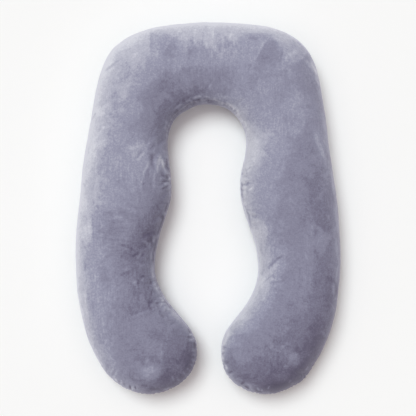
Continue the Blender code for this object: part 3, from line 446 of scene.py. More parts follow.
    (-0.182, -0.367, -0.158, -0.310, 0.39, -0.08), (-0.154, -0.381, -0.136, -0.333, 0.39, -0.08),
    (-0.172, -0.334, -0.152, -0.378, -0.33, -0.05), (-0.145, -0.343, -0.137, -0.388, -0.30),
    (-0.259, -0.375, -0.212, -0.354, 0.27, 0.10), (-0.235, -0.318, -0.239, -0.342, -0.21),
    (-0.133, -0.339, -0.111, -0.372, -0.24), (-0.126, -0.334, -0.105, -0.372, 0.24),
    (-0.164, -0.387, -0.160, -0.427, 0.18), (-0.424, -0.266, -0.411, -0.390, 0.30, -0.02),
    (-0.411, -0.272, -0.402, -0.389, -0.18), (-0.395, -0.265, -0.392, -0.403, -0.21),
    (-0.437, -0.112, -0.427, -0.163, -0.27, -0.05), (-0.419, -0.012, -0.411, -0.067, -0.19, 0, 0.0046),
    (-0.426, -0.163, -0.419, -0.228, -0.21), (-0.383, -0.183, -0.386, -0.261, 0.15),
    (-0.355, -0.182, -0.355, -0.278, -0.12), (-0.327, -0.189, -0.324, -0.311, 0.12),
)]

# A line where a stroke of the hand ended: where it starts and ends, its reach, its tone and its bow, straight
# where that isn't given. The pile to the left of the way it runs is lighter or darker by the tone: at once at
# the line, and less and less away from it, over the reach
Sweep = namedtuple("Sweep", "x0 y0 x1 y1 width tone bow", defaults=(0.0,))
SWEEPS = [Sweep(*row) for row in (
    (0.210, 0.591, 0.154, 0.491, 0.0385, -0.26), (0.259, 0.542, 0.208, 0.592, 0.0280, -0.22, -0.04),
    (0.248, 0.491, 0.260, 0.555, 0.0210, -0.16), (0.257, 0.503, 0.316, 0.506, 0.0350, 0.16, -0.12),
    (0.325, 0.519, 0.292, 0.478, 0.0315, -0.20), (0.216, 0.600, 0.126, 0.600, 0.0210, -0.20, -0.03),
    (0.324, 0.519, 0.354, 0.498, 0.0280, -0.14), (-0.199, 0.628, -0.194, 0.515, 0.0245, -0.22),
    (-0.237, 0.621, -0.289, 0.554, 0.0245, 0.10), (-0.345, 0.473, -0.289, 0.515, 0.0245, 0.12),
    (0.437, -0.088, 0.381, -0.179, 0.0350, -0.13, -0.04),
    (0.383, -0.166, 0.360, -0.278, 0.0385, -0.10, -0.04),
    (0.439, -0.257, 0.403, -0.219, 0.0245, -0.12, -0.05), (0.354, -0.039, 0.408, -0.085, 0.0350, -0.14),
    (0.408, -0.085, 0.449, -0.047, 0.0245, -0.10), (0.408, -0.086, 0.350, -0.038, 0.0385, 0.12),
    (0.450, -0.054, 0.407, -0.087, 0.0280, 0.10), (0.375, -0.186, 0.357, -0.107, 0.0280, 0.10),
    (0.212, -0.208, 0.262, -0.159, 0.0245, -0.08, 0.09),
    (0.262, -0.159, 0.212, -0.208, 0.0245, 0.10, -0.09),
    (-0.182, 0.241, -0.215, 0.172, 0.0245, -0.12, -0.14), (-0.252, 0.161, -0.215, 0.199, 0.0245, 0.10),
    (-0.225, 0.043, -0.196, 0.165, 0.0210, 0.10, 0.10),
    (-0.194, 0.159, -0.220, 0.046, 0.0315, -0.14, -0.10),
    (-0.153, 0.129, -0.137, 0.102, 0.0210, -0.20, -0.10), (-0.165, 0.065, -0.136, 0.078, 0.0210, -0.16),
    (-0.172, 0.019, -0.139, 0.016, 0.0280, -0.10), (-0.317, -0.012, -0.398, -0.007, 0.0315, -0.10, -0.03),
    (-0.395, -0.005, -0.391, -0.121, 0.0315, -0.10), (-0.397, -0.128, -0.400, -0.012, 0.0210, 0.16),
    (-0.276, -0.026, -0.235, -0.026, 0.0280, 0.10), (-0.217, -0.142, -0.173, -0.060, 0.0315, -0.05, -0.05),
    (-0.197, -0.233, -0.212, -0.339, 0.0245, -0.08, -0.12),
    (-0.208, -0.346, -0.195, -0.236, 0.0210, 0.06, 0.12),
    (-0.200, -0.232, -0.173, -0.301, 0.0175, 0.10, 0.06),
    (-0.110, 0.590, -0.157, 0.512, 0.0315, -0.16, -0.05), (0.047, 0.526, 0.048, 0.604, 0.0210, -0.12),
    (0.003, 0.540, 0.003, 0.612, 0.0210, 0.12), (-0.164, 0.383, -0.069, 0.385, 0.0280, -0.10, -0.03),
    (0.279, 0.328, 0.313, 0.369, 0.0315, 0.14, -0.08), (0.377, 0.331, 0.299, 0.315, 0.0315, 0.10),
    (-0.198, -0.529, -0.175, -0.579, 0.0245, 0.16, -0.10), (-0.229, -0.557, -0.222, -0.515, 0.0245, 0.14),
    (0.289, -0.482, 0.272, -0.519, 0.0245, 0.18, -0.10), (0.255, -0.464, 0.299, -0.472, 0.0245, 0.14),
    (0.214, -0.640, 0.285, -0.634, 0.0245, -0.16), (-0.133, -0.638, -0.070, -0.600, 0.0315, -0.14),
    (-0.063, -0.568, -0.042, -0.498, 0.0280, -0.14), (0.055, -0.517, 0.082, -0.570, 0.0315, -0.16, -0.05),
    (0.082, -0.570, 0.144, -0.619, 0.0245, -0.14), (0.144, -0.619, 0.214, -0.640, 0.0245, -0.12),
    (-0.282, -0.603, -0.200, -0.633, 0.0210, -0.10), (-0.200, -0.633, -0.133, -0.638, 0.0210, -0.12),
)]
SWEEP_EDGE = 0.003            # distance within which the tone of a sweep comes in at its line
LIP_OFFSET = 1.7              # from the bottom of a crease to its raised lip, in widths of the crease
LIP_HEIGHT = 0.6              # height of the lip, as a share of the depth of the crease
# Painted shade in the trough of a crease, as a share of the painted highlight on its lip
TROUGH_SHADE = 0.8             # tone lost in the trough of a crease, as a share of what its lip gains
LINE_FADE = 0.30              # share of a line's length over which it dies away at each end

# Tones that the velvet's patterns add, from their lightest to their darkest
CLOUD_TONE = 0.68
TUFT_TONE = 0.30              # before the tones gather in zones
LATE_TUFT_TONE = 0.25         # and after that, so that the edges of the zones stay rough
LOCK_TONE = 0.62
# painted shade in the dips of puckers and painted highlight on their rises
PUCKER_SHADING_TONE = 2.9
LEAST_STROKE_TONE = 0.1       # strokes of the brush, where the pile is hardly combed
MOST_STROKE_TONE = 0.6        # and where it is combed most
CROSSING_TONE = 0.7           # strokes across the left arm, at its waist
# painted highlight on the ridge beside the seam
RIDGE_HIGHLIGHT_TONE = 0.4              # the ridge beside the seam, at its clearest
# painted sheen where the surface is seen edge on
EDGE_SHEEN_TONE = 0.45           # tips of the pile, seen edge on
ZONE_STEP = 0.34              # tone between one zone of the pile and the next
ZONE_EDGE = 0.7               # how clear the edges of the zones are: 0 not at all, 1 sharp
DEEPEST_TONE = -1.5           # tone at which pile has the colour that it has deep in a fold
DARK_TONE = -1.0
LIGHTEST_TONE = 1.0
WAIST = (-0.34, -0.075, 0.16)     # where the left arm was stroked across
WAIST_NEAR = 0.04             # the strokes are whole this close to it
WAIST_FAR = 0.17              # and gone this far from it
RIDGE_PLACE = 0.002           # the ridge beside the seam, from the line of the sewing
RIDGE_WIDTH = 0.003           # half its width
SHEEN_TINT = "#D6D4E2"

# Stage
FLOOR_SIZE = 60.0
SENSOR = 36.0                 # width of the camera's sensor, in millimetres
FRAME_WIDTH = 1.456           # width that the view takes in at the level of the pillow's widest line
CAMERA_X = -0.0004
CAMERA_Y = 0.0017
KEY_COLOUR = "#F5FEFF"
KEY_SLOPE = (22.0, 16.0)      # how far the key light leans towards the head end and to the left, in degrees
KEY_SPREAD = 30.0             # angle across the key light, in degrees
CEILING_COLOUR = "#FFEFEE"
CEILING_SLOPE = (0.0, 0.0)
CEILING_SPREAD = 96.0         # angle across the wide light from above
ROOM_COLOUR = "#FFFAFA"


def srgb(code):
    """Linear colour of an sRGB hex value."""
    parts = [int(code[start:start + 2], 16) / 255 for start in (1, 3, 5)]
    return [part / 12.92 if part <= 0.04045 else ((part + 0.055) / 1.055) ** 2.4 for part in parts]


class PillowSizes(bpy.types.PropertyGroup):
    """Sizes of the filled pillow and of its sewing."""

    widest_height: bpy.props.FloatProperty(
        name="Widest height", description="Height above the floor at which the tube is widest",
        default=0.082, unit="LENGTH")
    lower_run: bpy.props.FloatProperty(
        name="Lower run", description="From the widest line inwards to where the underside meets the floor",
        default=0.086, unit="LENGTH")
    crown_squareness: bpy.props.FloatProperty(
        name="Crown squareness", description="2 is a round crown, more is a flatter one", default=2.35)
    lower_squareness: bpy.props.FloatProperty(
        name="Lower squareness", description="The same for the underside", default=2.10)
    seam_depth: bpy.props.FloatProperty(
        name="Seam depth", description="How far the sewing draws the cloth in",
        default=0.0035, unit="LENGTH")
    seam_width: bpy.props.FloatProperty(
        name="Seam width", description="Half the width of the groove at the seam",
        default=0.006, unit="LENGTH")
    pressure: bpy.props.FloatProperty(
        name="Pressure", description="Pressure of the filling in the simulation", default=4.0)
    spare_cloth: bpy.props.FloatProperty(
        name="Spare cloth", description="How much longer the panels are than the seam, where eased in",
        default=0.12, subtype="FACTOR")
    most_movement: bpy.props.FloatProperty(
        name="Most movement", description="The furthest that the simulation may move a point",
        default=0.010, unit="LENGTH")
    plumpness: bpy.props.FloatProperty(
        name="Plumpness", description="How far the filling pushes the cover out all round",
        default=0.0012, unit="LENGTH")
    lumpiness: bpy.props.FloatProperty(
        name="Lumpiness", description="How uneven the filling is", default=0.0022, unit="LENGTH")


class CoverColours(bpy.types.PropertyGroup):
    """Colours of the velvet along its tone, which holds both the way its pile lies and painted light and
    shade.
    """

    # The light and dark colours also show slopes painted lit and shaded, and the deep one painted shade in
    # folds
    light: bpy.props.FloatVectorProperty(
        name="Pile towards the light", description="Pile brushed so that it looks light",
        subtype="COLOR", default=srgb("#D2D3DB"))
    middle: bpy.props.FloatVectorProperty(
        name="Pile upright", description="Pile that stands up", subtype="COLOR", default=srgb("#9394A8"))
    dark: bpy.props.FloatVectorProperty(
        name="Pile away from the light", description="Pile brushed so that it looks dark",
        subtype="COLOR", default=srgb("#5F5A70"))
    deep: bpy.props.FloatVectorProperty(
        name="Pile deep in a fold", description="Pile where hardly any light comes", subtype="COLOR",
        default=srgb("#4B455B"))


class StageLook(bpy.types.PropertyGroup):
    """Floor, light and camera."""

    floor: bpy.props.FloatVectorProperty(
        name="Floor", description="Colour of the floor", subtype="COLOR", default=srgb("#F4F5F4"))
    key: bpy.props.FloatProperty(
        name="Key light", description="Strength of the soft sun from the upper left", default=1.85)
    ceiling: bpy.props.FloatProperty(
        name="Ceiling light", description="Strength of the very wide sun from above", default=0.97)
    fill: bpy.props.FloatProperty(
        name="Fill light", description="Strength of the light from all round", default=0.25)
    camera_height: bpy.props.FloatProperty(
        name="Camera height", description="Height of the camera above the floor",
        default=3.6, unit="LENGTH")


def spline_controls(rows):
    """Control rows of the closed cubic spline that passes through the rows."""
    same = np.eye(len(rows))
    system = (4 * same + np.roll(same, 1, axis=0) + np.roll(same, -1, axis=0)) / 6
    return np.linalg.solve(system, rows)


def spline_rows(controls, places):
    """The rows of the closed cubic spline at places counted in rows."""
    index = np.floor(places).astype(int)
    part = (places - index)[:, None]
    weights = (
        (1 - part) ** 3,
        3 * part ** 3 - 6 * part ** 2 + 4,
        -3 * part ** 3 + 3 * part ** 2 + 3 * part + 1,
        part ** 3,
    )
    count = len(controls)
    return sum(weight * controls[(index + shift) % count]
               for shift, weight in enumerate(weights, start=-1)) / 6


def middle(section):
    """The middle of a section, under its crown."""
    return ((section.outer_x + section.inner_x) / 2, (section.outer_y + section.inner_y) / 2)


def edge_rows():
    """Rows round the whole edge: edge x and y; and middle x and y, crown height and seam angle."""
    first, last = SECTIONS[0], SECTIONS[-1]
    rows = [(row.outer_x, row.outer_y, *middle(row), row.crown, row.outer_seam) for row in SECTIONS]
    rows += [(*point, *middle(last), last.crown, END_SEAM) for point in RIGHT_END]
    rows += [(row.inner_x, row.inner_y, *middle(row), row.crown, row.inner_seam) for row in SECTIONS[::-1]]
    rows += [(*point, *middle(first), first.crown, END_SEAM) for point in LEFT_END]
    table = np.array(rows)
    return table[:, :2].copy(), table[:, 2:].copy()


def span_steps(first, second, spacing):
    """Number of steps between two sections, set by the longer of their two edges."""
    outer = math.hypot(second.outer_x - first.outer_x, second.outer_y - first.outer_y)
    inner = math.hypot(second.inner_x - first.inner_x, second.inner_y - first.inner_y)
    return math.ceil(max(outer, inner) / spacing)


def edge_places():
    """Places along the edge, in rows, with as many steps on the inside of each section as outside."""
    last = len(SECTIONS) - 1
    steps = []
    for index in range(last):
        near_end = min(index, last - 1 - index)
        share = min(near_end / FINE_SPANS, 1)
        spacing = END_SPACING + (EDGE_SPACING - END_SPACING) * share
        steps.append(span_steps(SECTIONS[index], SECTIONS[index + 1], spacing))
    end_steps = [math.ceil(END_SPAN_LENGTH / END_SPACING)]
    spans = steps + end_steps * (len(RIGHT_END) + 1) + steps[::-1] + end_steps * (len(LEFT_END) + 1)
    return np.array([span + step / count for span, count in enumerate(spans) for step in range(count)])


def level_angles(seams, level):
    """The section angles of a level: 0 is the seam, TOP_STEPS the crown and -LOWER_STEPS the floor."""
    if level >= 0:
        return seams + (90 - seams) * (level / TOP_STEPS) ** LEVEL_SPREAD
    return seams - (90 + seams) * (-level / LOWER_STEPS) ** LEVEL_SPREAD


def section_loop(edges, middles, crowns, angles, sizes):
    """A closed loop of points round the pillow, one on each section from the middle of the tube to an edge.

    The angle is 90 at the crown, 0 at the widest line and -90 where the underside meets the floor.
    """
    half = np.linalg.norm(edges - middles, axis=1)
    across = abs(np.cos(np.radians(angles)))
    along = abs(np.sin(np.radians(angles)))
    power = 2 / sizes.crown_squareness
    lower = 2 / sizes.lower_squareness
    widest = sizes.widest_height
    above = angles >= 0
    run = np.where(above, half * across ** power, half - sizes.lower_run * (1 - across ** lower))
    height = np.where(above, widest + (crowns - widest) * along ** power, widest * (1 - along ** lower))
    flat = middles + (edges - middles) * (run / half)[:, None]
    return np.column_stack([flat, height])


def add_loop(bm, points, turns, drops):
    """Adds a closed loop of vertices, each with its place round the edge and its distance from the seam."""
    layers = [bm.verts.layers.float[name] for name in ("round_x", "round_y", "from_seam")]
    verts = []
    for point, turn, drop in zip(points, turns, drops):
        vert = bm.verts.new(point)
        for layer, value in zip(layers, (math.cos(turn), math.sin(turn), drop)):
            vert[layer] = value
        verts.append(vert)
    edges = [bm.edges.new((verts[index - 1], vert)) for index, vert in enumerate(verts)]
    return verts, edges


def sewn_cover(sizes):
    """Mesh of the two panels sewn together round their edge, before filling, and the length of the edge."""
    edge_table, rest_table = edge_rows()
    places = edge_places()
    edges = spline_rows(spline_controls(edge_table), places)
    rests = spline_rows(rest_table, places)
    middles, crowns, seams = rests[:, :2], rests[:, 2], rests[:, 3]
    steps = np.linalg.norm(np.roll(edges, -1, axis=0) - edges, axis=1)
    turns = 2 * math.pi * np.concatenate(([0.0], np.cumsum(steps)[:-1])) / steps.sum()

    levels = range(-LOWER_STEPS, TOP_STEPS + 1)
    loops = [section_loop(edges, middles, crowns, level_angles(seams, level), sizes) for level in levels]
    floor_middle = np.column_stack([middles, np.zeros(len(middles))])
    loops = [floor_middle, (floor_middle + loops[0]) / 2] + loops
    seam_loop = LOWER_STEPS + 2
    gaps = [np.linalg.norm(second - first, axis=1) for first, second in zip(loops, loops[1:])]
    heights = np.concatenate(([np.zeros(len(places))], np.cumsum(gaps, axis=0)))
    heights = heights - heights[seam_loop]

    bm = bmesh.new()
    for name in ("round_x", "round_y", "from_seam"):
        bm.verts.layers.float.new(name)
    first_verts, lower = add_loop(bm, loops[0], turns, heights[0])
    for points, drops in zip(loops[1:], heights[1:]):
        last_verts, upper = add_loop(bm, points, turns, drops)
        bmesh.ops.bridge_loops(bm, edges=lower + upper)
        lower = upper
    bmesh.ops.remove_doubles(bm, verts=first_verts + last_verts, dist=WELD)
    bmesh.ops.recalc_face_normals(bm, faces=bm.faces)
    if not all(edge.is_manifold for edge in bm.edges):
        raise RuntimeError("The sewn cover isn't closed")
    mesh = bpy.data.meshes.new("cover")
    bm.to_mesh(mesh)
    bm.free()
    mesh.shade_smooth()
    return mesh, steps.sum()


def centre_on_node(mesh):
    """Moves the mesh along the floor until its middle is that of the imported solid."""
    lowest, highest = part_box(NODE)
    points = read_points(mesh)
    centre = (points.min(axis=0) + points.max(axis=0)) / 2
    points[:, 0] += (lowest.x + highest.x) / 2 - centre[0]
    points[:, 1] += (lowest.y + highest.y) / 2 - centre[1]
    write_points(mesh, points)


def read_points(mesh, field="co"):
    """The vertices' places, or their normals, as rows."""
    values = np.empty(len(mesh.vertices) * 3)
    mesh.vertices.foreach_get(field, values)
    return values.reshape(-1, 3)


def write_points(mesh, points):
    """Moves the vertices to the places in rows."""
    mesh.vertices.foreach_set("co", points.ravel())
    mesh.update()


def read_values(mesh, name):
    """The values of a point attribute."""
    values = np.empty(len(mesh.vertices))
    mesh.attributes[name].data.foreach_get("value", values)
    return values


def write_values(mesh, name, values):
    """Stores the values as a point attribute."""
    mesh.attributes.new(name, "FLOAT", "POINT").data.foreach_set("value", values)


def add_group(piece, name, weights):
    """A vertex group with a weight for each vertex, without those that weigh almost nothing."""
    group = piece.vertex_groups.new(name=name)
    for index in np.flatnonzero(weights > LEAST_WEIGHT):
        group.add([int(index)], float(weights[index]), "REPLACE")


def spare_weights(points, from_seam):
    """How much spare cloth there is at each point, from 0 to 1."""
    weights = np.zeros(len(points))
    for spare in SPARES:
        away = np.linalg.norm(points[:, :2] - (spare.x, spare.y), axis=1)
        weights = np.maximum(weights, spare.share * np.exp(-(away / spare.reach) ** 4))
    return weights * np.exp(-(from_seam / SPARE_REACH) ** 2)


def fill_cover(cover, sizes):
    """Fills the sewn cover: the seam and the underside are held, and spare cloth beside the seam puckers."""
    mesh = cover.data
    start = read_points(mesh)
    from_seam = read_values(mesh, "from_seam")
    held = (abs(from_seam) < HELD_BAND) | (start[:, 2] < FLOOR_BAND)
    add_group(cover, "held", held.astype(float))
    spares = spare_weights(start, from_seam)
    add_group(cover, "spare", spares)

    filling = cover.modifiers.new("Filling", "CLOTH")
    cloth = filling.settings
    cloth.quality = 5
    cloth.mass = 0.3
    cloth.tension_stiffness = 15
    cloth.compression_stiffness = 5
    cloth.shear_stiffness = 5
    cloth.bending_stiffness = 0.1
    cloth.use_pressure = True
    cloth.uniform_pressure_force = sizes.pressure
    cloth.vertex_group_mass = "held"
    cloth.pin_stiffness = 1
    cloth.vertex_group_shrink = "spare"
    cloth.shrink_min = 0
    cloth.shrink_max = -sizes.spare_cloth
    cloth.effector_weights.gravity = 0
    filling.collision_settings.use_collision = False
    filling.collision_settings.use_self_collision = False
    filling.point_cache.frame_start = 1
    filling.point_cache.frame_end = FILL_FRAMES

    scene = bpy.context.scene
    for number in range(1, FILL_FRAMES + 1):
        scene.frame_set(number)
    depsgraph = bpy.context.evaluated_depsgraph_get()
    filled = read_points(cover.evaluated_get(depsgraph).data)
    if not np.isfinite(filled).all():
        raise RuntimeError("The simulation of the filling failed")
    cover.modifiers.remove(filling)
    cover.vertex_groups.clear()
    scene.frame_set(1)
    moves = filled - start
    lengths = np.linalg.norm(moves, axis=1)
    share = np.minimum(1, sizes.most_movement / np.maximum(lengths, 1e-9))
    share *= TAUT_SHARE + (1 - TAUT_SHARE) * np.minimum(1, 2 * spares)
    write_points(mesh, start + moves * share[:, None])


def subdivide(cover):
    """Halves the mesh spacing with one level of subdivision."""
    smoothing = cover.modifiers.new("Smoothing", "SUBSURF")
    smoothing.levels = smoothing.render_levels = 1
    depsgraph = bpy.context.evaluated_depsgraph_get()
    finer = bpy.data.meshes.new_from_object(cover.evaluated_get(depsgraph))
    cover.modifiers.remove(smoothing)
    coarse = cover.data
    cover.data = finer
    bpy.data.meshes.remove(coarse)
    finer.name = "cover"
    finer.shade_smooth()


def slow_waves(turns, waves):
    """The sum of slow waves at places along the seam, which are counted in radians, two pi to a pleat."""
    return sum(size * np.sin(turns / length + start) for length, size, start in waves)


def pleats(turns):
    """A wave along the seam, 0 on a ridge and up to 1 in a fold."""
    depths = PLEAT_MEAN + slow_waves(turns, PLEAT_DEPTHS)
    return depths * (0.5 - 0.5 * np.cos(turns + slow_waves(turns, PLEAT_SHIFTS)))


def sewing_depths(mesh, around, sizes):
    """How far the seam and its pleats draw each point in, the painted highlight on the pleats' ridges and
    painted shade in their folds, and how gathered it is.

    The places of points along the seam are measured round the whole edge, whose length is given.
    """
    points = read_points(mesh)
    from_seam = read_values(mesh, "from_seam")
    turns = np.arctan2(read_values(mesh, "round_y"), read_values(mesh, "round_x")) % (2 * math.pi)
    places = turns * around / (2 * math.pi)
    share = SEAM_MEAN + SEAM_SWING * wander(points, SEAM_WANDER)[:, 0]
    depths = sizes.seam_depth * share * np.exp(-(from_seam / sizes.seam_width) ** 2)
    tones = np.zeros(len(points))
    gathered = np.zeros(len(points))
    on_seam = abs(from_seam) < HELD_BAND
    for gather in GATHERS:
        gaps = np.linalg.norm(points[:, :2] - (gather.x, gather.y), axis=1)
        offsets = places - places[np.where(on_seam, gaps, np.inf).argmin()]
        offsets = (offsets + around / 2) % around - around / 2
        fades = np.clip((gather.length / 2 - abs(offsets)) / GATHER_FADE, 0, 1)
        reach = np.where(from_seam > 0, gather.above, gather.below)
        pleat_turns = 2 * math.pi * offsets / gather.pitch
        uneven = 1 + slow_waves(pleat_turns, PLEAT_REACHES)
        fades = fades * np.exp(-(from_seam / reach / uneven) ** 2)
        folds = pleats(pleat_turns)
        depths += gather.depth * fades * folds
        # Painted highlight on the pleats' ridges and painted shade in their folds
        tones += PLEAT_SHADING_TONE * gather.depth * fades * (PLEAT_RIDGE - folds)
        gathered = np.maximum(gathered, fades)
    return depths, tones, gathered


def across_line(points, line):
    """How far each point lies to the left of a bowed line, in half widths, and how the line fades there."""
    start = np.array((line.x0, line.y0))
    run = np.array((line.x1, line.y1)) - start
    length = math.hypot(*run)
    ahead = run / length
    left = np.array((-ahead[1], ahead[0]))
    places = points[:, :2] - start
    share = places @ ahead / length
    bowed = line.bow * length * (1 - (2 * share - 1) ** 2)
    fade = np.clip(np.minimum(share, 1 - share) / LINE_FADE, 0, 1)
    return (places @ left - bowed) / line.width, fade * fade * (3 - 2 * fade)


def line_marks(points, normals):
    """How deep the creases are at each point, less the height of their lips, and the tone of all lines:
    painted highlight on the creases' lips and painted shade in their troughs, and the lighter and darker
    lines, partly pile and partly painted shade and highlight of fine folds.
    """
    depths = np.zeros(len(points))
    tones = np.zeros(len(points))
    above = np.clip(normals[:, 2] * LINE_UPRIGHT, 0, 1) * (points[:, 2] > LINE_LOWEST)
    for crease in CREASES:
        aside, fade = across_line(points, crease)
        trough = np.exp(-aside ** 2)
        lip = np.exp(-(aside - LIP_OFFSET) ** 2)
        depths += above * fade * crease.depth * (trough - LIP_HEIGHT * lip)
        # Painted highlight on the crease's lip and painted shade in its trough
        tones += above * fade * crease.tone * (lip - TROUGH_SHADE * trough)
    # Lighter and darker lines: partly the pile, partly painted shade and painted highlight of fine folds
    for stroke in PILE_AND_FOLD_LINES:
        aside, fade = across_line(points, stroke)
        tones += above * fade * stroke.tone * np.exp(-aside ** 2)
    for sweep in SWEEPS:
        aside, fade = across_line(points, sweep)
        edge = np.clip(0.5 + aside * sweep.width / SWEEP_EDGE, 0, 1)
        tones += above * fade * sweep.tone * edge * np.exp(-aside ** 2)
    return depths, tones


def wander(points, scale):
    """A smooth random shift of each point, up to about 1 either way."""
    return np.array([noise.noise_vector(Vector(point) * scale) for point in points])


def pile_and_light_tones(mesh):
    """How light the pile looks at each point: patches where the pile was stroked the other way, together with
    painted light and shade from the upper left, a painted falloff darker towards the lower right and painted
    sheen on the steep sides.
    """
    points = read_points(mesh)
    normals = read_points(mesh, "normal")
    # Painted light and shade: slopes that face the upper left lighter, those facing away darker
    painted_lean = normals[:, 0] * PAINTED_LIGHT_LEAN[0] + normals[:, 1] * PAINTED_LIGHT_LEAN[1]
    # Painted sheen on the sides, where the cover turns down
    side_sheen = PAINTED_SIDE_SHEEN * (1 - np.clip(normals[:, 2], 0, 1))
    # Painted light falloff adds to this: darker towards the lower right
    tones = LAY_BASE + painted_lean + side_sheen + points[:, 0] * PAINTED_LIGHT_FALLOFF[0] + points[:, 1] * PAINTED_LIGHT_FALLOFF[1]
    strays = sum(wander(points, scale) for scale in WANDER_SCALES)
    # Painted sheen in a rim where the cover turns steep, with a rough edge
    rim_sheen = (RIM_START + RIM_STRAY * strays[:, 2] - normals[:, 2]) / RIM_FADE
    tones += PAINTED_RIM_SHEEN * np.clip(rim_sheen, 0, 1)
    strayed = points + strays * PATCH_WANDER
    above = np.clip(normals[:, 2] * PATCH_UPRIGHT, 0, 1)
    for patch in PATCHES:
        turn = math.radians(patch.turn)
        aside = strayed[:, 0] - patch.x
        ahead = strayed[:, 1] - patch.y
        along = (aside * math.cos(turn) + ahead * math.sin(turn)) / patch.length
        across = (ahead * math.cos(turn) - aside * math.sin(turn)) / patch.width
        outside = (np.hypot(along, across) - 1) / patch.blur
        tones += above * patch.tone * 0.5 * (1 - np.tanh(outside / 2))
    return tones


def shape_surface(mesh, around, sizes):
    """Stores the pile's tone, which also holds painted light, sheen and shade, and where cloth is gathered,
    and moves lumps and folds into the mesh.
    """
    points = read_points(mesh)
    normals = read_points(mesh, "normal")
    creased, line_shading_tones = line_marks(points, normals)
    sewn, pleat_shading, gathered = sewing_depths(mesh, around, sizes)
    write_values(mesh, "pile_and_light_tone", pile_and_light_tones(mesh) + line_shading_tones + pleat_shading)
    write_values(mesh, "gathered", gathered)
    lumps = wander(points, LUMP_SCALE)[:, 0] + DENT_SHARE * wander(points, DENT_SCALE)[:, 0]
    points += normals * (sizes.plumpness + sizes.lumpiness * lumps - sewn - creased)[:, None]
    points[:, 2] = np.maximum(points[:, 2], 0)
    write_points(mesh, points)


class PILLOW_OT_cover(bpy.types.Operator):
    """Makes the velvet cover, filled and creased, in place of the plain solid"""

    bl_idname = "pillow.cover"
    bl_label = "Make velvet cover"

    def execute(self, context):
        noise.seed_set(NOISE_SEED)
        sizes = context.scene.pillow_sizes
        mesh, around = sewn_cover(sizes)
        cover = bpy.data.objects.new("pillow_cover", mesh)
        context.scene.collection.objects.link(cover)
        centre_on_node(mesh)
        fill_cover(cover, sizes)
        subdivide(cover)
        shape_surface(cover.data, around, sizes)
        cover.data.materials.append(brushed_velvet(context.scene.pillow_colours))
        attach(cover, "root")
        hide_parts(NODE)
        return {"FINISHED"}


def add_node(tree, kind, settings=None, **inputs):
    """Adds a node with its settings, and sets or links its inputs by name."""
    node = tree.nodes.new(kind)
    for name, value in (settings or {}).items():
        setattr(node, name, value)
    for name, value in inputs.items():
        socket = node.inputs[int(name[1:])] if name[0] == "_" else node.inputs[name.replace("_", " ")]
        if isinstance(value, bpy.types.NodeSocket):
            tree.links.new(value, socket)
        else:
            socket.default_value = value
    return node


def add_pattern(tree, tone, pattern, depth):
    """The tone with a noise pattern added, as deep as given."""
    centred = add_node(tree, "ShaderNodeMath", {"operation": "SUBTRACT"}, _0=pattern.outputs["Fac"], _1=0.5)
    return add_node(tree, "ShaderNodeMath", {"operation": "MULTIPLY_ADD"}, _0=centred.outputs["Value"],
                    _1=depth, _2=tone).outputs["Value"]


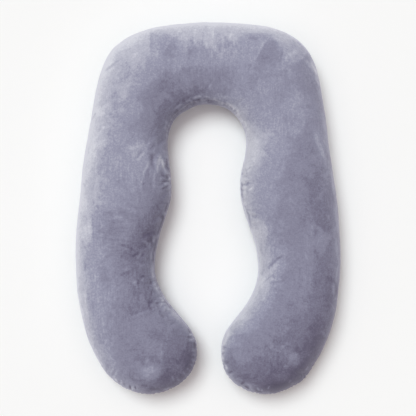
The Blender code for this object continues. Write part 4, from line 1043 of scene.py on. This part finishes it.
def brushed_velvet(colours):
    """Short-pile polyester velvet, knitted and brushed.

    It is matt, with light and dark patches where the pile was stroked, and a painted sheen: a soft light rim
    added to its colour where it is seen edge on. Its tone also carries painted light and shade from the upper
    left, painted sheen on the sides and painted shade and highlight in creases, pleats and puckers.
    """
    material = bpy.data.materials.new("brushed_velvet")
    material.use_nodes = True
    tree = material.node_tree
    tree.nodes.clear()
    output = add_node(tree, "ShaderNodeOutputMaterial")
    place = add_node(tree, "ShaderNodeTexCoord").outputs["Object"]
    # This tone holds the pile's patches and lines together with painted light, sheen and shade
    tone = add_node(tree, "ShaderNodeAttribute", {"attribute_name": "pile_and_light_tone"}).outputs["Fac"]

    # Fine strokes of the brush run along the arms, 7 mm wide and 45 mm long, in some places more than others
    stroked = add_node(tree, "ShaderNodeMapping", Vector=place, Scale=(150.0, 22.0, 150.0))
    strokes = add_node(tree, "ShaderNodeTexNoise", Vector=stroked.outputs["Vector"], Scale=1.0, Detail=3.0,
                       Roughness=0.55)
    combed = add_node(tree, "ShaderNodeTexNoise", Vector=place, Scale=8.0, Detail=1.0)
    where = add_node(tree, "ShaderNodeMapRange", Value=combed.outputs["Fac"], From_Min=0.42, From_Max=0.6,
                     To_Min=LEAST_STROKE_TONE, To_Max=MOST_STROKE_TONE)
    # At the waist of the left arm others run across it, 6 mm wide and 40 mm long
    crossed = add_node(tree, "ShaderNodeMapping", Vector=place, Scale=(25.0, 165.0, 165.0))
    crossings = add_node(tree, "ShaderNodeTexNoise", Vector=crossed.outputs["Vector"], Scale=1.0, Detail=3.0,
                         Roughness=0.55, Distortion=0.3)
    apart = add_node(tree, "ShaderNodeVectorMath", {"operation": "DISTANCE"}, _0=place, _1=WAIST)
    near = add_node(tree, "ShaderNodeMapRange", Value=apart.outputs["Value"], From_Min=WAIST_NEAR,
                    From_Max=WAIST_FAR, To_Min=CROSSING_TONE, To_Max=0.0)
    # Clouds where the pile leans together, 30 to 80 mm across, tufts of 5 to 15 mm, and single locks of 5 mm
    clouds = add_node(tree, "ShaderNodeTexNoise", Vector=place, Scale=16.0, Detail=7.0, Roughness=0.56,
                      Distortion=0.7)
    tufts = add_node(tree, "ShaderNodeTexNoise", Vector=place, Scale=85.0, Detail=2.0, Roughness=0.6,
                     Distortion=0.4)
    locks = add_node(tree, "ShaderNodeTexNoise", Vector=place, Scale=200.0, Detail=1.0, Roughness=0.6)
    tone = add_pattern(tree, tone, clouds, CLOUD_TONE)
    tone = add_pattern(tree, tone, tufts, TUFT_TONE)
    # Pile that leans one way ends in a clear edge, so the tones gather in steps, ZONE_STEP apart
    waves = add_node(tree, "ShaderNodeMath", {"operation": "MULTIPLY"}, _0=tone, _1=2 * math.pi / ZONE_STEP)
    waves = add_node(tree, "ShaderNodeMath", {"operation": "SINE"}, _0=waves.outputs["Value"])
    tone = add_node(tree, "ShaderNodeMath", {"operation": "MULTIPLY_ADD"}, _0=waves.outputs["Value"],
                    _1=-ZONE_EDGE * ZONE_STEP / (2 * math.pi), _2=tone).outputs["Value"]
    tone = add_pattern(tree, tone, strokes, where.outputs["Result"])
    tone = add_pattern(tree, tone, crossings, near.outputs["Result"])
    tone = add_pattern(tree, tone, tufts, LATE_TUFT_TONE)
    tone = add_pattern(tree, tone, locks, LOCK_TONE)

    # Puckers run across the seam: 8 mm wide and 35 mm long, only where the cloth is gathered. They bump the
    # surface, and their tone is painted shade in their dips and painted highlight on their rises
    round_x, round_y, from_seam, gathered = (
        add_node(tree, "ShaderNodeAttribute", {"attribute_name": name}).outputs["Fac"]
        for name in ("round_x", "round_y", "from_seam", "gathered"))
    around = add_node(tree, "ShaderNodeCombineXYZ", X=round_x, Y=round_y, Z=from_seam)
    pulled = add_node(tree, "ShaderNodeMapping", Vector=around.outputs["Vector"], Scale=(105.0, 105.0, 28.0))
    puckers = add_node(tree, "ShaderNodeTexNoise", Vector=pulled.outputs["Vector"], Scale=1.0, Detail=2.0)
    centred = add_node(tree, "ShaderNodeMath", {"operation": "SUBTRACT"}, _0=puckers.outputs["Fac"], _1=0.5)
    pucker = add_node(tree, "ShaderNodeMath", {"operation": "MULTIPLY"}, _0=centred.outputs["Value"],
                      _1=gathered).outputs["Value"]
    tone = add_node(tree, "ShaderNodeMath", {"operation": "MULTIPLY_ADD"}, _0=pucker, _1=PUCKER_SHADING_TONE,
                    _2=tone).outputs["Value"]
    # Painted highlight along a fine ridge beside the line of the sewing, where the seam allowances inside
    # would push it up, here and there; the ridge has no shape of its own
    beside = add_node(tree, "ShaderNodeMath", {"operation": "SUBTRACT"}, _0=from_seam, _1=RIDGE_PLACE)
    beside = add_node(tree, "ShaderNodeMath", {"operation": "ABSOLUTE"}, _0=beside.outputs["Value"])
    ridge = add_node(tree, "ShaderNodeMapRange", {"interpolation_type": "SMOOTHSTEP"},
                     Value=beside.outputs["Value"], From_Max=RIDGE_WIDTH, To_Min=1.0, To_Max=0.0)
    ridge_highlight = add_node(tree, "ShaderNodeMapRange", Value=tufts.outputs["Fac"], From_Min=0.45, From_Max=0.65,
                      To_Max=RIDGE_HIGHLIGHT_TONE)
    tone = add_node(tree, "ShaderNodeMath", {"operation": "MULTIPLY_ADD"}, _0=ridge.outputs["Result"],
                    _1=ridge_highlight.outputs["Result"], _2=tone).outputs["Value"]
    # Painted sheen: the colour is made lighter where the surface is seen edge on, as the tips of the pile
    # catch the light
    edge_sheen = add_node(tree, "ShaderNodeLayerWeight", Blend=0.5).outputs["Facing"]
    tone = add_node(tree, "ShaderNodeMath", {"operation": "MULTIPLY_ADD"}, _0=edge_sheen, _1=EDGE_SHEEN_TONE,
                    _2=tone).outputs["Value"]
    share = add_node(tree, "ShaderNodeMapRange", Value=tone, From_Min=DEEPEST_TONE, From_Max=LIGHTEST_TONE)
    ramp = add_node(tree, "ShaderNodeValToRGB", Fac=share.outputs["Result"])
    stops = ramp.color_ramp.elements
    stops[0].color = (*colours.deep, 1)
    stops[1].color = (*colours.light, 1)
    for level, colour in ((DARK_TONE, colours.dark), (0.0, colours.middle)):
        stops.new((level - DEEPEST_TONE) / (LIGHTEST_TONE - DEEPEST_TONE)).color = (*colour, 1)

    # Pile: tufts of 1.5 mm, drawn coarser than the real fibres so that they show
    pile = add_node(tree, "ShaderNodeTexNoise", Vector=place, Scale=650.0, Detail=2.0, Roughness=0.6)
    folds = add_node(tree, "ShaderNodeBump", Strength=0.6, Distance=0.004, Height=pucker)
    bump = add_node(tree, "ShaderNodeBump", Strength=0.35, Distance=0.0008, Height=pile.outputs["Fac"],
                    Normal=folds.outputs["Normal"])
    shader = add_node(tree, "ShaderNodeBsdfPrincipled", Base_Color=ramp.outputs["Color"], Roughness=0.9,
                      Sheen_Weight=0.7, Sheen_Roughness=0.55, Sheen_Tint=(*srgb(SHEEN_TINT), 1),
                      Normal=bump.outputs["Normal"])
    shader.inputs["Specular IOR Level"].default_value = 0.2
    tree.links.new(shader.outputs["BSDF"], output.inputs["Surface"])
    return material


def white_paper(look):
    """Seamless white paper: matt, with no grain to see."""
    material = bpy.data.materials.new("white_paper")
    material.use_nodes = True
    shader = material.node_tree.nodes["Principled BSDF"]
    shader.inputs["Base Color"].default_value = (*look.floor, 1)
    shader.inputs["Roughness"].default_value = 1.0
    shader.inputs["Specular IOR Level"].default_value = 0.0
    return material


def add_sun(scene, name, strength, colour, slope, spread):
    """Adds a soft sun that leans towards the head end and to the left by the slope, in degrees."""
    sun = bpy.data.lights.new(name, "SUN")
    sun.energy = strength
    sun.color = srgb(colour)
    sun.angle = math.radians(spread)
    light = bpy.data.objects.new(name, sun)
    back, left = (math.tan(math.radians(angle)) for angle in slope)
    light.rotation_euler = Vector((left, -back, -1)).to_track_quat("-Z", "Y").to_euler()
    scene.collection.objects.link(light)


class PILLOW_OT_stage(bpy.types.Operator):
    """Makes the pale floor, two soft suns, the pale room and the camera straight above"""

    bl_idname = "pillow.stage"
    bl_label = "Make stage"

    def execute(self, context):
        scene = context.scene
        look = scene.pillow_stage
        bm = bmesh.new()
        bmesh.ops.create_grid(bm, x_segments=1, y_segments=1, size=FLOOR_SIZE / 2)
        mesh = bpy.data.meshes.new("floor")
        bm.to_mesh(mesh)
        bm.free()
        floor = bpy.data.objects.new("floor", mesh)
        scene.collection.objects.link(floor)
        floor.data.materials.append(white_paper(look))

        add_sun(scene, "key_light", look.key, KEY_COLOUR, KEY_SLOPE, KEY_SPREAD)
        add_sun(scene, "ceiling_light", look.ceiling, CEILING_COLOUR, CEILING_SLOPE, CEILING_SPREAD)

        world = bpy.data.worlds.new("soft_room")
        world.use_nodes = True
        background = world.node_tree.nodes["Background"]
        background.inputs["Color"].default_value = (*srgb(ROOM_COLOUR), 1)
        background.inputs["Strength"].default_value = look.fill
        scene.world = world

        lens = bpy.data.cameras.new("camera")
        lens.sensor_width = SENSOR
        lens.lens = SENSOR * (look.camera_height - scene.pillow_sizes.widest_height) / FRAME_WIDTH
        camera = bpy.data.objects.new("camera", lens)
        camera.location = (CAMERA_X, CAMERA_Y, look.camera_height)
        scene.collection.objects.link(camera)
        scene.camera = camera
        scene.view_settings.view_transform = "Standard"
        return {"FINISHED"}


class PILLOW_PT_panel(bpy.types.Panel):
    """Lists the pillow's sizes, colours and steps"""

    bl_label = "Body pillow"
    bl_idname = "PILLOW_PT_panel"
    bl_space_type = "VIEW_3D"
    bl_region_type = "UI"
    bl_category = "Pillow"

    def draw(self, context):
        layout = self.layout
        for name in ("pillow_sizes", "pillow_colours", "pillow_stage"):
            group = getattr(context.scene, name)
            for key in group.bl_rna.properties.keys():
                if key not in ("rna_type", "name"):
                    layout.prop(group, key)
        layout.operator("pillow.cover")
        layout.operator("pillow.stage")


CLASSES = (PillowSizes, CoverColours, StageLook, PILLOW_OT_cover, PILLOW_OT_stage, PILLOW_PT_panel)


def register():
    """Adds the classes and the scene's groups of sizes, colours and looks."""
    for cls in CLASSES:
        bpy.utils.register_class(cls)
    bpy.types.Scene.pillow_sizes = bpy.props.PointerProperty(type=PillowSizes)
    bpy.types.Scene.pillow_colours = bpy.props.PointerProperty(type=CoverColours)
    bpy.types.Scene.pillow_stage = bpy.props.PointerProperty(type=StageLook)


def unregister():
    """Takes away what register added."""
    del bpy.types.Scene.pillow_stage
    del bpy.types.Scene.pillow_colours
    del bpy.types.Scene.pillow_sizes
    for cls in reversed(CLASSES):
        bpy.utils.unregister_class(cls)


def main():
    """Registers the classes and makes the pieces."""
    register()
    bpy.ops.pillow.cover()
    bpy.ops.pillow.stage()


if __name__ == "__main__":
    main()
